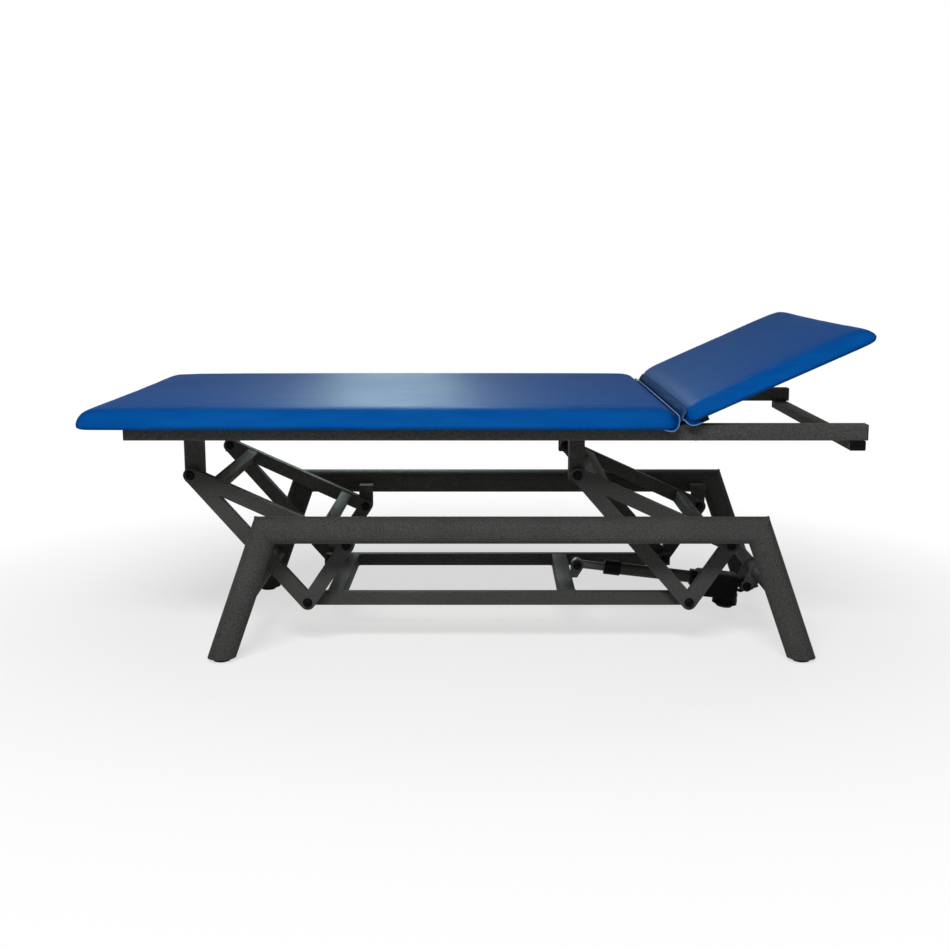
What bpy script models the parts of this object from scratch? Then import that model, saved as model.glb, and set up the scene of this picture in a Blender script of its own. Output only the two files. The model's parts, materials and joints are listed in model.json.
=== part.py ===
"""Height-adjustable Bobath therapy table with a tilting head section.

Metres, +Z up, floor at Z = 0. +X runs to the head end, -Y is the side that faces the viewer. Pieces are
modelled from the middle of the base, and the root empty sets the whole table on the middle of its outline.
Each body hangs on an empty that sits on its joint's axis. The head section is modelled lying flat, and its
empty tilts it to the raised position.
"""

import math

import bmesh
import bpy
from mathutils import Matrix, Vector

# Clearances
BASE_X = 0.09672
GAP = 0.0003
TURN_GAP = 0.0008
BORE_CLEARANCE = 0.00025

# Base: two bent round tubes on splayed legs, tied across at both ends
TUBE_R = 0.0354
BASE_Y = 0.368
BASE_Z = 0.3495
KNEE_X = 0.639
LEG_SPLAY = math.radians(19.8)
LEG_TIE_R = 0.018
LEG_TIE_FOOT_Z = 0.1235
LEG_TIE_HEAD_Z = 0.156
PAD_R = 0.023
PAD_H = 0.009
PAD_CHAMFER = 0.002

# Lift linkage: triangular arms that turn on the base, joined to the top and to the push frame
PIVOT_MID_X = 0.0734
PIVOT_SPACING = 1.0225
PIVOT_Z = 0.2894
ARM_LENGTH = 0.4508
ARM_ANGLE = math.radians(24.7)
CRANK_LENGTH = 0.19085
CRANK_ANGLE = math.radians(55.83)
ARM_BAR = 0.037
ARM_END_R = 0.0203
ARM_THICK = 0.028
ARM_INNER_Y = 0.252
ARM_TUBE = 0.033
ARM_TUBE_FROM_TOP = 0.072
ARM_TUBE_FROM_BASE = 0.069
LIFT_RANGE = (math.radians(-20.0), math.radians(42.0))

# Pivot hardware
BOLT_R = 0.008
HEAD_R = 0.0115
HEAD_T = 0.008
HEAD_CHAMFER = 0.002
NUT_T = 0.006
BOSS_R = 0.016
BRACKET_T = 0.010
BRACKET_R = 0.021
BRACKET_TOP = 0.060
FLANGE_T = 0.010

# Push frame between the lower ends of the arms
TIE_INNER_Y = 0.212
TIE_W = 0.028
TIE_H = 0.036
TIE_PAST_PIVOT = 0.016
PUSH_TUBE_W = 0.045
PUSH_TUBE_FOOT_X = -0.4773
PUSH_TUBE_HEAD_X = 0.1546
ROD_PIN_OUT = 0.0175
ROD_PIN_UP = 0.0398
ROD_EAR_T = 0.006

# Lift actuator, measured along its axis from the rod pin to the fork bolt
ACTUATOR_LENGTH = 0.488
ACTUATOR_TILT = math.radians(6.75)
ROD_TURN_PER_LIFT = 0.215
STROKE_PER_LIFT = 0.1519
ROD_R = 0.012
ROD_LENGTH = 0.23
ROD_EYE_R = 0.0155
ROD_EYE_W = 0.026
ROD_PIN_R = 0.006
TUBE_START = 0.079
CYLINDER_R = 0.0175
COLLAR_R = 0.021
COLLAR_L = 0.046
GEARBOX_L = 0.123
REAR_REACH = 0.0206
GEARBOX_W = 0.066
GEARBOX_UP = 0.024
GEARBOX_DOWN = 0.0485
GEARBOX_ROUND = 0.010
MOTOR_R = 0.0345
MOTOR_INSET = 0.028
MOTOR_L = 0.0265
MOTOR_CHAMFER = 0.013
MOTOR_TOP = -0.034
REAR_EYE_W = 0.020
REAR_EYE_WALL = 0.006
SLOT_SIDE_CLEARANCE = 0.0027
FORK_INNER_Y = 0.0385
FORK_T = 0.006
FORK_R = 0.015
FORK_COLLAR = 0.007

# Top frame
RAIL_W = 0.040
RAIL_H = 0.040
RAIL_INSET = 0.007
RAIL_TOP = 0.6355
RAIL_FOOT_INSET = 0.1213
RAIL_HEAD_X = 0.8819
TUBE_ROUND = 0.003
CAP_T = 0.0025
END_TUBE_INSET = 0.0026
END_TUBE_W = 0.040
END_TUBE_H = 0.025
CROSS_TUBE_W = 0.0412
POST_W = 0.040
FRONT_POST_D = 0.081
BACK_POST_D = 0.042
POST_BELOW_PIVOT = 0.022

# Upholstered sections on plywood boards
BOARD_T = 0.012
BOARD_CORNER = 0.025
PAD_HALF_W = 0.500
PAD_CORNER = 0.045
PAD_RISE = 0.0440
PAD_DROP = 0.0105
HEAD_PAD_DROP = 0.002
PAD_CROWN = 0.003
PAD_DRAW_IN = 0.003
PAD_LOOPS = (0.010, 0.026, 0.050)
SIDE_ROLL = 0.052
END_ROLL = 0.075
HINGE_ROLL = 0.040
PAD_NOSE = 0.016
PAD_UNDERCUT = 0.005
PAD_LOOP = 0.4
MAIN_FOOT_X = -1.0880
HEAD_HEAD_X = 0.938
LIP = 0.042
SIDE_LIP = 0.038
HINGE_LIP = 0.016

# Head hinge and its gas spring, whose two pins lie equally far from the hinge
HINGE_X = 0.4175
HINGE_RISE = 0.012
HEAD_TILT = math.radians(24.2)
HINGE_CLEARANCE = 0.0075
EAR_CLEARANCE = 0.001
EAR_T = 0.006
EAR_DROP = 0.0305
HINGE_PIN_R = 0.004
HINGE_ARM_REACH = 0.070
HINGE_ARM_H = 0.025
SPRING_RADIUS = 0.150
SPRING_FRAME_ANGLE = math.radians(30.0)
SPRING_HEAD_ANGLE = math.radians(68.0)
SPRING_CYLINDER_R = 0.010
SPRING_NECK = 0.018
SPRING_CYLINDER_END = 0.150
SPRING_ROD_R = 0.005
SPRING_ROD_L = 0.158
SPRING_EYE_R = 0.010
SPRING_EYE_W = 0.012
SPRING_PIN_R = 0.005
SPRING_EAR_T = 0.005
SPRING_EAR_R = 0.013
HEAD_BRACKET_L = 0.080

# Facets
ROUND = 36
ROUND_SMALL = 24
PIN_SIDES = 16
ARC_STEP = math.radians(18.0)
DRIFT_STEPS = 30

# Derived places in the X-Z plane, from the middle of the base
RIGHT = Vector((1.0, 0.0, 0.0))
ALONG_Y = Vector((0.0, 1.0, 0.0))
UP = Vector((0.0, 0.0, 1.0))
PIVOT_X = {"foot": PIVOT_MID_X - PIVOT_SPACING / 2, "head": PIVOT_MID_X + PIVOT_SPACING / 2}
BASE_PIVOT = {end: (x, PIVOT_Z) for end, x in PIVOT_X.items()}
TOP_PIVOT = {
    end: (x - ARM_LENGTH * math.cos(ARM_ANGLE), PIVOT_Z + ARM_LENGTH * math.sin(ARM_ANGLE))
    for end, x in PIVOT_X.items()
}
TIE_PIVOT = {
    end: (x - CRANK_LENGTH * math.cos(CRANK_ANGLE), PIVOT_Z - CRANK_LENGTH * math.sin(CRANK_ANGLE))
    for end, x in PIVOT_X.items()
}
TIE_Z = TIE_PIVOT["foot"][1]
ROD_PIN = (PUSH_TUBE_HEAD_X + PUSH_TUBE_W / 2 + ROD_PIN_OUT, TIE_Z + ROD_PIN_UP)
FORK_BOLT = (
    ROD_PIN[0] + ACTUATOR_LENGTH * math.cos(ACTUATOR_TILT),
    ROD_PIN[1] - ACTUATOR_LENGTH * math.sin(ACTUATOR_TILT),
)
GEARBOX_END = ACTUATOR_LENGTH - REAR_REACH
GEARBOX_START = GEARBOX_END - GEARBOX_L
MOTOR_X = GEARBOX_END - MOTOR_INSET
BOARD_HALF_W = PAD_HALF_W - SIDE_LIP
MAIN_HEAD_X = HINGE_X - HINGE_CLEARANCE
HEAD_FOOT_X = HINGE_X + HINGE_CLEARANCE
EAR_R = HINGE_CLEARANCE - EAR_CLEARANCE
RAIL_OUTER_Y = BOARD_HALF_W - RAIL_INSET
RAIL_FOOT_X = MAIN_FOOT_X + RAIL_FOOT_INSET
END_TUBE_X = RAIL_HEAD_X - END_TUBE_INSET - END_TUBE_W / 2
RAIL_BOTTOM = RAIL_TOP - RAIL_H
PAD_TOP = RAIL_TOP + PAD_RISE
PAD_BOTTOM = {"main": RAIL_TOP - PAD_DROP, "head": RAIL_TOP - HEAD_PAD_DROP}
HINGE_Z = RAIL_TOP + HINGE_RISE
EAR_FOOT_Z = RAIL_TOP - EAR_DROP
RAIL_INNER_Y = RAIL_OUTER_Y - RAIL_W
BOARD_BOTTOM = RAIL_TOP + GAP
ARM_OUTER_Y = ARM_INNER_Y + ARM_THICK
TIE_OUTER_Y = TIE_INNER_Y + TIE_W
BRACKET_INNER_Y = ARM_OUTER_Y + TURN_GAP
BRACKET_OUTER_Y = BRACKET_INNER_Y + BRACKET_T
EAR_INNER_Y = RAIL_INNER_Y - GAP - EAR_T
HINGE_ARM_OUTER_Y = EAR_INNER_Y - TURN_GAP
HINGE = (HINGE_X, HINGE_Z)
SPRING_FRAME_PIN = (
    HINGE_X - SPRING_RADIUS * math.cos(SPRING_FRAME_ANGLE),
    HINGE_Z - SPRING_RADIUS * math.sin(SPRING_FRAME_ANGLE),
)
SPRING_HEAD_PIN_FLAT = (
    HINGE_X + SPRING_RADIUS * math.cos(SPRING_HEAD_ANGLE),
    HINGE_Z - SPRING_RADIUS * math.sin(SPRING_HEAD_ANGLE),
)
SPRING_HEAD_PIN = (
    HINGE_X + SPRING_RADIUS * math.cos(HEAD_TILT - SPRING_HEAD_ANGLE),
    HINGE_Z + SPRING_RADIUS * math.sin(HEAD_TILT - SPRING_HEAD_ANGLE),
)


def at(point, y=0.0):
    """A point of the X-Z plane, set at a depth y."""
    return Vector((point[0], y, point[1]))


# Scene, collections, bodies and materials
for old in list(bpy.data.objects):
    bpy.data.objects.remove(old, do_unlink=True)
parts = bpy.data.collections.new("bobath_table")
cutters = bpy.data.collections.new("cutters")
for collection in (parts, cutters):
    bpy.context.scene.collection.children.link(collection)
cutters.hide_render = True


def add_empty(name, place, parent=None):
    empty = bpy.data.objects.new(name, None)
    empty.empty_display_size = 0.05
    empty.location = place
    if parent:
        empty.parent = parent
        empty.location = place - parent.location
    parts.objects.link(empty)
    return empty


table = add_empty("table", Vector((BASE_X, 0.0, 0.0)))
BODY_PLACES = {
    "base": Vector((0.0, 0.0, 0.0)),
    "arm_foot": at(BASE_PIVOT["foot"]),
    "arm_head": at(BASE_PIVOT["head"]),
    "top": at(TOP_PIVOT["foot"]),
    "push_frame": at(TIE_PIVOT["foot"]),
    "rod": at(ROD_PIN),
    "cylinder": at(ROD_PIN),
    "head": at(HINGE),
    "spring_tube": at(SPRING_FRAME_PIN),
    "spring_rod": at(SPRING_HEAD_PIN),
}
bodies = {
    name: add_empty(name + "_axis", place + table.location, table) for name, place in BODY_PLACES.items()
}
bodies["head"].rotation_euler = (0.0, -HEAD_TILT, 0.0)


def make_material(name, colour, roughness, metallic=0.0):
    material = bpy.data.materials.new(name)
    material.use_nodes = True
    shader = material.node_tree.nodes["Principled BSDF"]
    shader.inputs["Base Color"].default_value = (*colour, 1.0)
    shader.inputs["Roughness"].default_value = roughness
    shader.inputs["Metallic"].default_value = metallic
    return material


powder_coat = make_material("anthracite_powder_coat", (0.045, 0.047, 0.045), 0.55)
black_steel = make_material("black_oxide_steel", (0.012, 0.012, 0.012), 0.45, 0.6)
black_plastic = make_material("black_plastic", (0.012, 0.012, 0.013), 0.5)
rubber = make_material("black_rubber", (0.015, 0.015, 0.015), 0.8)
grey_tube = make_material("grey_actuator_tube", (0.07, 0.072, 0.07), 0.4, 0.5)
bright_steel = make_material("bright_steel", (0.35, 0.35, 0.35), 0.3, 1.0)
plywood = make_material("birch_plywood", (0.55, 0.40, 0.24), 0.7)
vinyl = make_material("blue_vinyl", (0.0, 0.065, 0.35), 0.4)


# Building blocks
def finish(name, mesh, material, body, place=None):
    """Makes an object of a mesh, whose points or place are measured from the middle of the base."""
    part = bpy.data.objects.new(name, mesh)
    mesh.materials.clear()
    mesh.materials.append(material)
    mesh.shade_smooth()
    mesh.set_sharp_from_angle(angle=math.radians(35.0))
    parts.objects.link(part)
    part.parent = bodies[body]
    part.matrix_parent_inverse = Matrix.Translation(-BODY_PLACES[body])
    if place:
        part.matrix_basis = place
    return part


def to_mesh(bm, name):
    bmesh.ops.recalc_face_normals(bm, faces=bm.faces)
    mesh = bpy.data.meshes.new(name)
    bm.to_mesh(mesh)
    bm.free()
    return mesh


def evaluated_mesh(source):
    """The evaluated mesh of a temporary object, welded, with the object removed."""
    bpy.context.view_layer.update()
    graph = bpy.context.evaluated_depsgraph_get()
    mesh = bpy.data.meshes.new_from_object(source.evaluated_get(graph))
    mesh.transform(source.matrix_world)
    bm = bmesh.new()
    bm.from_mesh(mesh)
    bmesh.ops.remove_doubles(bm, verts=bm.verts, dist=1e-6)
    bmesh.ops.recalc_face_normals(bm, faces=bm.faces)
    bm.to_mesh(mesh)
    bm.free()
    bpy.data.objects.remove(source)
    return mesh


def box_mesh(size, centre, turn=0.0, long_axis=None, rounding=0.0, segments=2):
    """A box turned about Y, with the edges along one axis (or all of them) rounded."""
    bm = bmesh.new()
    bmesh.ops.create_cube(bm, size=1.0)
    bmesh.ops.scale(bm, vec=size, verts=bm.verts)
    if rounding:
        chosen = bm.edges[:]
        if long_axis:
            runs = {edge: (edge.verts[0].co - edge.verts[1].co).normalized() for edge in chosen}
            chosen = [edge for edge in chosen if abs(runs[edge].dot(long_axis)) > 0.9]
        bmesh.ops.bevel(bm, geom=chosen, offset=rounding, segments=segments, profile=0.5, affect="EDGES")
    place = Matrix.Translation(centre) @ Matrix.Rotation(turn, 4, "Y")
    bmesh.ops.transform(bm, matrix=place, verts=bm.verts)
    return to_mesh(bm, "box")


def bar_mesh(start, end, radius, sides=ROUND):
    """A solid round bar between two points."""
    span = end - start
    bm = bmesh.new()
    bmesh.ops.create_cone(
        bm, cap_ends=True, segments=sides, radius1=radius, radius2=radius, depth=span.length
    )
    turn = UP.rotation_difference(span.normalized()).to_matrix().to_4x4()
    bmesh.ops.transform(bm, matrix=Matrix.Translation((start + end) / 2) @ turn, verts=bm.verts)
    return to_mesh(bm, "bar")


def arc(centre, radius, start, end):
    """Points of an arc in the X-Z plane, from one angle to another, either way round."""
    steps = max(1, round(abs(end - start) / ARC_STEP))
    angles = [start + (end - start) * i / steps for i in range(steps + 1)]
    return [(centre[0] + radius * math.cos(a), centre[1] + radius * math.sin(a)) for a in angles]


def circle(centre, radius):
    return arc(centre, radius, 0.0, 2 * math.pi)[:-1]


def direction(a, b):
    return math.atan2(b[1] - a[1], b[0] - a[0])


def belt(circles):
    """The outline of a belt laid round circles, each (centre, radius), listed counter-clockwise."""
    touches = []
    for (a, radius_a), (b, radius_b) in zip(circles, circles[1:] + circles[:1]):
        lean = math.asin((radius_b - radius_a) / math.dist(a, b))
        touches.append(direction(a, b) - math.pi / 2 - lean)
    points = []
    for i, (centre, radius) in enumerate(circles):
        start, end = touches[i - 1], touches[i]
        points += arc(centre, radius, start, start + (end - start) % (2 * math.pi))
    return points


def inset_triangle(corners, inset):
    """The corners of a triangle, listed counter-clockwise, whose sides are moved inwards."""
    sides = []
    for a, b in zip(corners, corners[1:] + corners[:1]):
        turn = direction(a, b)
        inward = Vector((-math.sin(turn), math.cos(turn)))
        sides.append((Vector(a) + inward * inset, Vector((math.cos(turn), math.sin(turn)))))
    points = []
    for (p, u), (q, v) in zip(sides[-1:] + sides[:-1], sides):
        along = (q - p).cross(v) / u.cross(v)
        points.append(tuple(p + u * along))
    return points


def plate_mesh(outlines, y_start, y_end):
    """A plate between two depths, from closed outlines in the X-Z plane. Inner outlines become holes."""
    curve = bpy.data.curves.new("outline", "CURVE")
    curve.dimensions = "2D"
    curve.fill_mode = "BOTH"
    curve.extrude = (y_end - y_start) / 2
    for outline in outlines:
        spline = curve.splines.new("POLY")
        spline.points.add(len(outline) - 1)
        for point, (x, z) in zip(spline.points, outline):
            point.co = (x, z, 0.0, 1.0)
        spline.use_cyclic_u = True
    source = bpy.data.objects.new("outline", curve)
    middle = Matrix.Translation(ALONG_Y * (y_start + y_end) / 2)
    source.matrix_world = middle @ Matrix.Rotation(math.pi / 2, 4, "X")
    parts.objects.link(source)
    return evaluated_mesh(source)


def turned_mesh(profile, sides=PIN_SIDES):
    """A turned piece about Z, from (radius, height) points that run down its outer side."""
    mesh = bpy.data.meshes.new("profile")
    points = [(radius, 0.0, height) for radius, height in profile]
    mesh.from_pydata(points, [(i, i + 1) for i in range(len(points) - 1)], [])
    source = bpy.data.objects.new("profile", mesh)
    parts.objects.link(source)
    screw = source.modifiers.new("turn", "SCREW")
    screw.steps = sides
    screw.render_steps = sides
    screw.use_merge_vertices = True
    screw.merge_threshold = 1e-6
    return evaluated_mesh(source)


def ring_mesh(outer, inner, start, end, sides=PIN_SIDES):
    """A plain ring about Z. Its profile comes back to its first point."""
    return turned_mesh([(inner, end), (outer, end), (outer, start), (inner, start), (inner, end)], sides)


def side_depths(side, inner, outer):
    """Two depths from the middle plane, set on the front (-1) or the back (1) and put in order."""
    return sorted((side * inner, side * outer))


def across(point, y, side=1.0):
    """Sets a piece that was turned about Z across the table, its top towards +Y or, with side -1, -Y."""
    return Matrix.Translation(at(point, y)) @ Matrix.Rotation(-side * math.pi / 2, 4, "X")


def cut(part, mesh, body, operation="DIFFERENCE"):
    """Adds a Boolean with a hidden helper that is modelled from the middle of the base too."""
    helper = bpy.data.objects.new(part.name + "_cutter", mesh)
    helper.hide_render = True
    helper.display_type = "WIRE"
    cutters.objects.link(helper)
    helper.parent = bodies[body]
    helper.matrix_parent_inverse = Matrix.Translation(-BODY_PLACES[body])
    boolean = part.modifiers.new(operation.lower(), "BOOLEAN")
    boolean.operation = operation
    boolean.solver = "EXACT"
    boolean.object = helper


def bolt_mesh(length, radius=BOLT_R, head_radius=HEAD_R):
    """A bolt with its head under Z = 0, its shank up to the length, and a nut beyond it."""
    top = length + NUT_T
    profile = [
        (0.0, top), (head_radius, top), (head_radius, length + GAP), (radius, length + GAP), (radius, -GAP),
        (head_radius, -GAP), (head_radius, HEAD_CHAMFER - HEAD_T),
        (head_radius - HEAD_CHAMFER, -HEAD_T), (0.0, -HEAD_T),
    ]
    return turned_mesh(profile)


# Base: bent side frames with pivot brackets, leg ties and foot pads
def leg_point(end, side, z):
    """A point on a leg's axis at a height."""
    reach = KNEE_X + (BASE_Z - z) * math.tan(LEG_SPLAY)
    return Vector((reach if end == "head" else -reach, side * BASE_Y, z))


def slide_to_plane(verts, along, point, normal):
    """Slides points in one direction until they lie on a plane."""
    for vert in verts:
        vert.co += along * (point - vert.co).dot(normal) / along.dot(normal)


def side_frame_mesh(side):
    """A round tube with a leg at each end, mitred at the knees and cut level above the pads."""
    bm = bmesh.new()
    bmesh.ops.create_cone(bm, cap_ends=True, segments=ROUND, radius1=TUBE_R, radius2=TUBE_R, depth=2 * KNEE_X)
    lay_down = Matrix.Translation((0.0, side * BASE_Y, BASE_Z)) @ LENGTHWISE
    bmesh.ops.transform(bm, matrix=lay_down, verts=bm.verts)
    for end_name, sign in END_SIGNS.items():
        knee = leg_point(end_name, side, BASE_Z)
        down = (leg_point(end_name, side, 0.0) - knee).normalized()
        cap = max(bm.faces, key=lambda face: face.calc_center_median().x * sign)
        slide_to_plane(cap.verts, RIGHT, knee, RIGHT * sign + down)
        grown = bmesh.ops.extrude_discrete_faces(bm, faces=[cap])["faces"][0]
        slide_to_plane(grown.verts, down, UP * (PAD_H + GAP), UP)
    return to_mesh(bm, "side_frame")


def build_base_sides():
    """Each side frame carries a lug for each arm, on a flange that comes out of the tube."""
    top = PIVOT_Z + BRACKET_TOP
    for label, side in SIDES.items():
        frame = finish(f"base_side_{label}", side_frame_mesh(side), powder_coat, "base")
        for pivot in BASE_PIVOT.values():
            outline = [(pivot[0] + BRACKET_R, top), (pivot[0] - BRACKET_R, top)]
            outline += arc(pivot, BRACKET_R, math.pi, 2 * math.pi)
            hole = circle(pivot, BOLT_R + BORE_CLEARANCE)
            lug = plate_mesh([outline, hole], *side_depths(side, BRACKET_INNER_Y, BRACKET_OUTER_Y))
            flange_start = BRACKET_INNER_Y + BRACKET_T / 2
            size = Vector((2 * (BRACKET_R - GAP), BASE_Y - flange_start, FLANGE_T))
            middle = Vector((pivot[0], side * (flange_start + BASE_Y) / 2, top - GAP - FLANGE_T / 2))
            cut(frame, box_mesh(size, middle), "base", "UNION")
            cut(frame, lug, "base", "UNION")


def build_leg_ties():
    """Round ties between the legs. The head one carries the fork for the actuator's rear bolt."""
    ties = {}
    for end_name, height in (("foot", LEG_TIE_FOOT_Z), ("head", LEG_TIE_HEAD_Z)):
        start, end = (leg_point(end_name, side, height) for side in (-1, 1))
        tie = finish(f"leg_tie_{end_name}", bar_mesh(start, end, LEG_TIE_R, ROUND_SMALL), powder_coat, "base")
        for side in (-1, 1):
            seat = bar_mesh(leg_point(end_name, side, 0.0), leg_point(end_name, side, BASE_Z), TUBE_R + GAP)
            cut(tie, seat, "base")
        ties[end_name] = tie
    tie_centre = leg_point("head", 1, LEG_TIE_HEAD_Z).xz[:]
    outline = belt([(FORK_BOLT, FORK_R), (tie_centre, LEG_TIE_R + FORK_COLLAR)])
    hole = circle(FORK_BOLT, ROD_PIN_R + BORE_CLEARANCE)
    for side in (-1, 1):
        cheek = plate_mesh([outline, hole], *side_depths(side, FORK_INNER_Y, FORK_INNER_Y + FORK_T))
        cut(ties["head"], cheek, "base", "UNION")
    outer = FORK_INNER_Y + FORK_T
    bolt = bolt_mesh(2 * outer, ROD_PIN_R)
    finish("actuator_fork_bolt", bolt, black_steel, "base", across(FORK_BOLT, -outer))


def build_foot_pads():
    profile = [(0.0, PAD_H), (PAD_R, PAD_H), (PAD_R, PAD_CHAMFER), (PAD_R - PAD_CHAMFER, 0.0), (0.0, 0.0)]
    pad = turned_mesh(profile, ROUND_SMALL)
    for end_name in END_SIGNS:
        for label, side in SIDES.items():
            foot = leg_point(end_name, side, PAD_H)
            place = Matrix.Translation((foot.x, foot.y, 0.0))
            finish(f"foot_pad_{end_name}_{label}", pad, rubber, "base", place)


def build_base_bolts():
    bolt = bolt_mesh(BRACKET_OUTER_Y - ARM_INNER_Y + TURN_GAP)
    for end_name, pivot in BASE_PIVOT.items():
        for label, side in SIDES.items():
            place = across(pivot, side * BRACKET_OUTER_Y, -side)
            finish(f"base_bolt_{end_name}_{label}", bolt, black_steel, "base", place)


# Lift arms
def along_arm(end, distance):
    """A point on the long bar of an arm, measured from its top pivot."""
    top = TOP_PIVOT[end]
    return (top[0] + distance * math.cos(ARM_ANGLE), top[1] - distance * math.sin(ARM_ANGLE))


def build_arms():
    for end_name in END_SIGNS:
        body = "arm_" + end_name
        corners = [TOP_PIVOT[end_name], TIE_PIVOT[end_name], BASE_PIVOT[end_name]]
        rim = belt(list(zip(corners, (ARM_BAR / 2, ARM_END_R, ARM_END_R))))
        bores = [circle(corner, BOLT_R + BORE_CLEARANCE) for corner in corners]
        outlines = [rim, inset_triangle(corners, ARM_BAR / 2), *bores]
        for label, side in SIDES.items():
            arm = plate_mesh(outlines, *side_depths(side, ARM_INNER_Y, ARM_OUTER_Y))
            finish(f"{body}_{label}", arm, powder_coat, body)
        stations = {"upper": ARM_TUBE_FROM_TOP, "lower": ARM_LENGTH - ARM_TUBE_FROM_BASE}
        size = Vector((ARM_TUBE, 2 * (ARM_INNER_Y - GAP), ARM_TUBE))
        for label, distance in stations.items():
            tube = box_mesh(size, at(along_arm(end_name, distance)), ARM_ANGLE, ALONG_Y, TUBE_ROUND)
            finish(f"{body}_{label}_tube", tube, powder_coat, body)


# Push frame
def build_tie_bars():
    """Bars between the arms' lower ends, with a boss at each pivot that spaces the arm off."""
    start, end = TIE_PIVOT["foot"][0] - TIE_PAST_PIVOT, TIE_PIVOT["head"][0] + TIE_PAST_PIVOT
    size = Vector((end - start, TIE_W, TIE_H))
    bolt = bolt_mesh(ARM_OUTER_Y - TIE_INNER_Y + TURN_GAP)
    for label, side in SIDES.items():
        centre = Vector(((start + end) / 2, side * (TIE_INNER_Y + TIE_OUTER_Y) / 2, TIE_Z))
        tube = box_mesh(size, centre, 0.0, RIGHT, TUBE_ROUND)
        bar = finish(f"tie_bar_{label}", tube, powder_coat, "push_frame")
        for end_name, pivot in TIE_PIVOT.items():
            boss = [at(pivot, side * y) for y in (TIE_OUTER_Y - TIE_W / 2, ARM_INNER_Y - TURN_GAP)]
            cut(bar, bar_mesh(*boss, BOSS_R, ROUND_SMALL), "push_frame", "UNION")
            bore = [at(pivot, side * y) for y in (TIE_INNER_Y - TIE_W, ARM_OUTER_Y)]
            cut(bar, bar_mesh(*bore, BOLT_R + BORE_CLEARANCE, PIN_SIDES), "push_frame")
            place = across(pivot, side * (ARM_OUTER_Y + TURN_GAP), -side)
            finish(f"tie_bolt_{end_name}_{label}", bolt, black_steel, "push_frame", place)


def build_push_tubes():
    """Cross tubes between the tie bars. The head one has two ears for the pin that the rod turns on."""
    size = Vector((PUSH_TUBE_W, 2 * (TIE_INNER_Y - GAP), TIE_H))
    tubes = {}
    for end_name, x in (("foot", PUSH_TUBE_FOOT_X), ("head", PUSH_TUBE_HEAD_X)):
        tube = box_mesh(size, Vector((x, 0.0, TIE_Z)), 0.0, ALONG_Y, TUBE_ROUND)
        tubes[end_name] = finish(f"push_tube_{end_name}", tube, powder_coat, "push_frame")
    radius = ROD_PIN_OUT - GAP
    foot_z = TIE_Z + TUBE_ROUND
    outline = arc(ROD_PIN, radius, math.pi, 0.0)
    outline += [(ROD_PIN[0] + radius, ROD_PIN[1] - radius / 2), (ROD_PIN[0], foot_z)]
    root_z = TIE_Z + TIE_H / 4
    outline += [(PUSH_TUBE_HEAD_X, foot_z), (PUSH_TUBE_HEAD_X, root_z), (ROD_PIN[0] - radius, root_z)]
    hole = circle(ROD_PIN, ROD_PIN_R + BORE_CLEARANCE)
    inner = ROD_EYE_W / 2 + TURN_GAP
    outer = inner + ROD_EAR_T
    for side in (-1, 1):
        ear = plate_mesh([outline, hole], *side_depths(side, inner, outer))
        cut(tubes["head"], ear, "push_frame", "UNION")
    finish("rod_pin", bolt_mesh(2 * outer, ROD_PIN_R), black_steel, "push_frame", across(ROD_PIN, -outer))


# Lift actuator, modelled along +X from the rod pin and then tilted
def tilted(mesh):
    mesh.transform(Matrix.Translation(at(ROD_PIN)) @ Matrix.Rotation(ACTUATOR_TILT, 4, "Y"))
    return mesh


def lengthwise(mesh):
    """Lays a piece that was turned about Z along the actuator's axis."""
    mesh.transform(LENGTHWISE)
    return tilted(mesh)


def build_actuator_rod():
    bar = bar_mesh(Vector((0.0, 0.0, 0.0)), RIGHT * ROD_LENGTH, ROD_R, ROUND_SMALL)
    rod = finish("actuator_rod", tilted(bar), bright_steel, "rod")
    half = ALONG_Y * ROD_EYE_W / 2
    cut(rod, tilted(bar_mesh(-half, half, ROD_EYE_R, ROUND_SMALL)), "rod", "UNION")
    cut(rod, tilted(bar_mesh(-2 * half, 2 * half, ROD_PIN_R + BORE_CLEARANCE, PIN_SIDES)), "rod")


def build_actuator_cylinder():
    bore = ROD_R + 2 * BORE_CLEARANCE
    tube = ring_mesh(CYLINDER_R, bore, TUBE_START, GEARBOX_START - GAP, ROUND_SMALL)
    finish("actuator_tube", lengthwise(tube), grey_tube, "cylinder")
    collar = ring_mesh(COLLAR_R, CYLINDER_R + GAP, TUBE_START, TUBE_START + COLLAR_L, ROUND_SMALL)
    finish("actuator_collar", lengthwise(collar), black_plastic, "cylinder")
    size = Vector((GEARBOX_END - GEARBOX_START, GEARBOX_W, GEARBOX_UP + GEARBOX_DOWN))
    centre = Vector(((GEARBOX_START + GEARBOX_END) / 2, 0.0, (GEARBOX_UP - GEARBOX_DOWN) / 2))
    gearbox = box_mesh(size, centre, 0.0, None, GEARBOX_ROUND)
    housing = finish("actuator_housing", tilted(gearbox), black_plastic, "cylinder")
    bottom = -GEARBOX_DOWN - MOTOR_L
    profile = [(0.0, MOTOR_TOP), (MOTOR_R, MOTOR_TOP), (MOTOR_R, bottom + MOTOR_CHAMFER)]
    profile += [(MOTOR_R - MOTOR_CHAMFER, bottom), (0.0, bottom)]
    motor = turned_mesh(profile, ROUND_SMALL)
    motor.transform(Matrix.Translation((MOTOR_X, 0.0, 0.0)))
    cut(housing, tilted(motor), "cylinder", "UNION")


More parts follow.
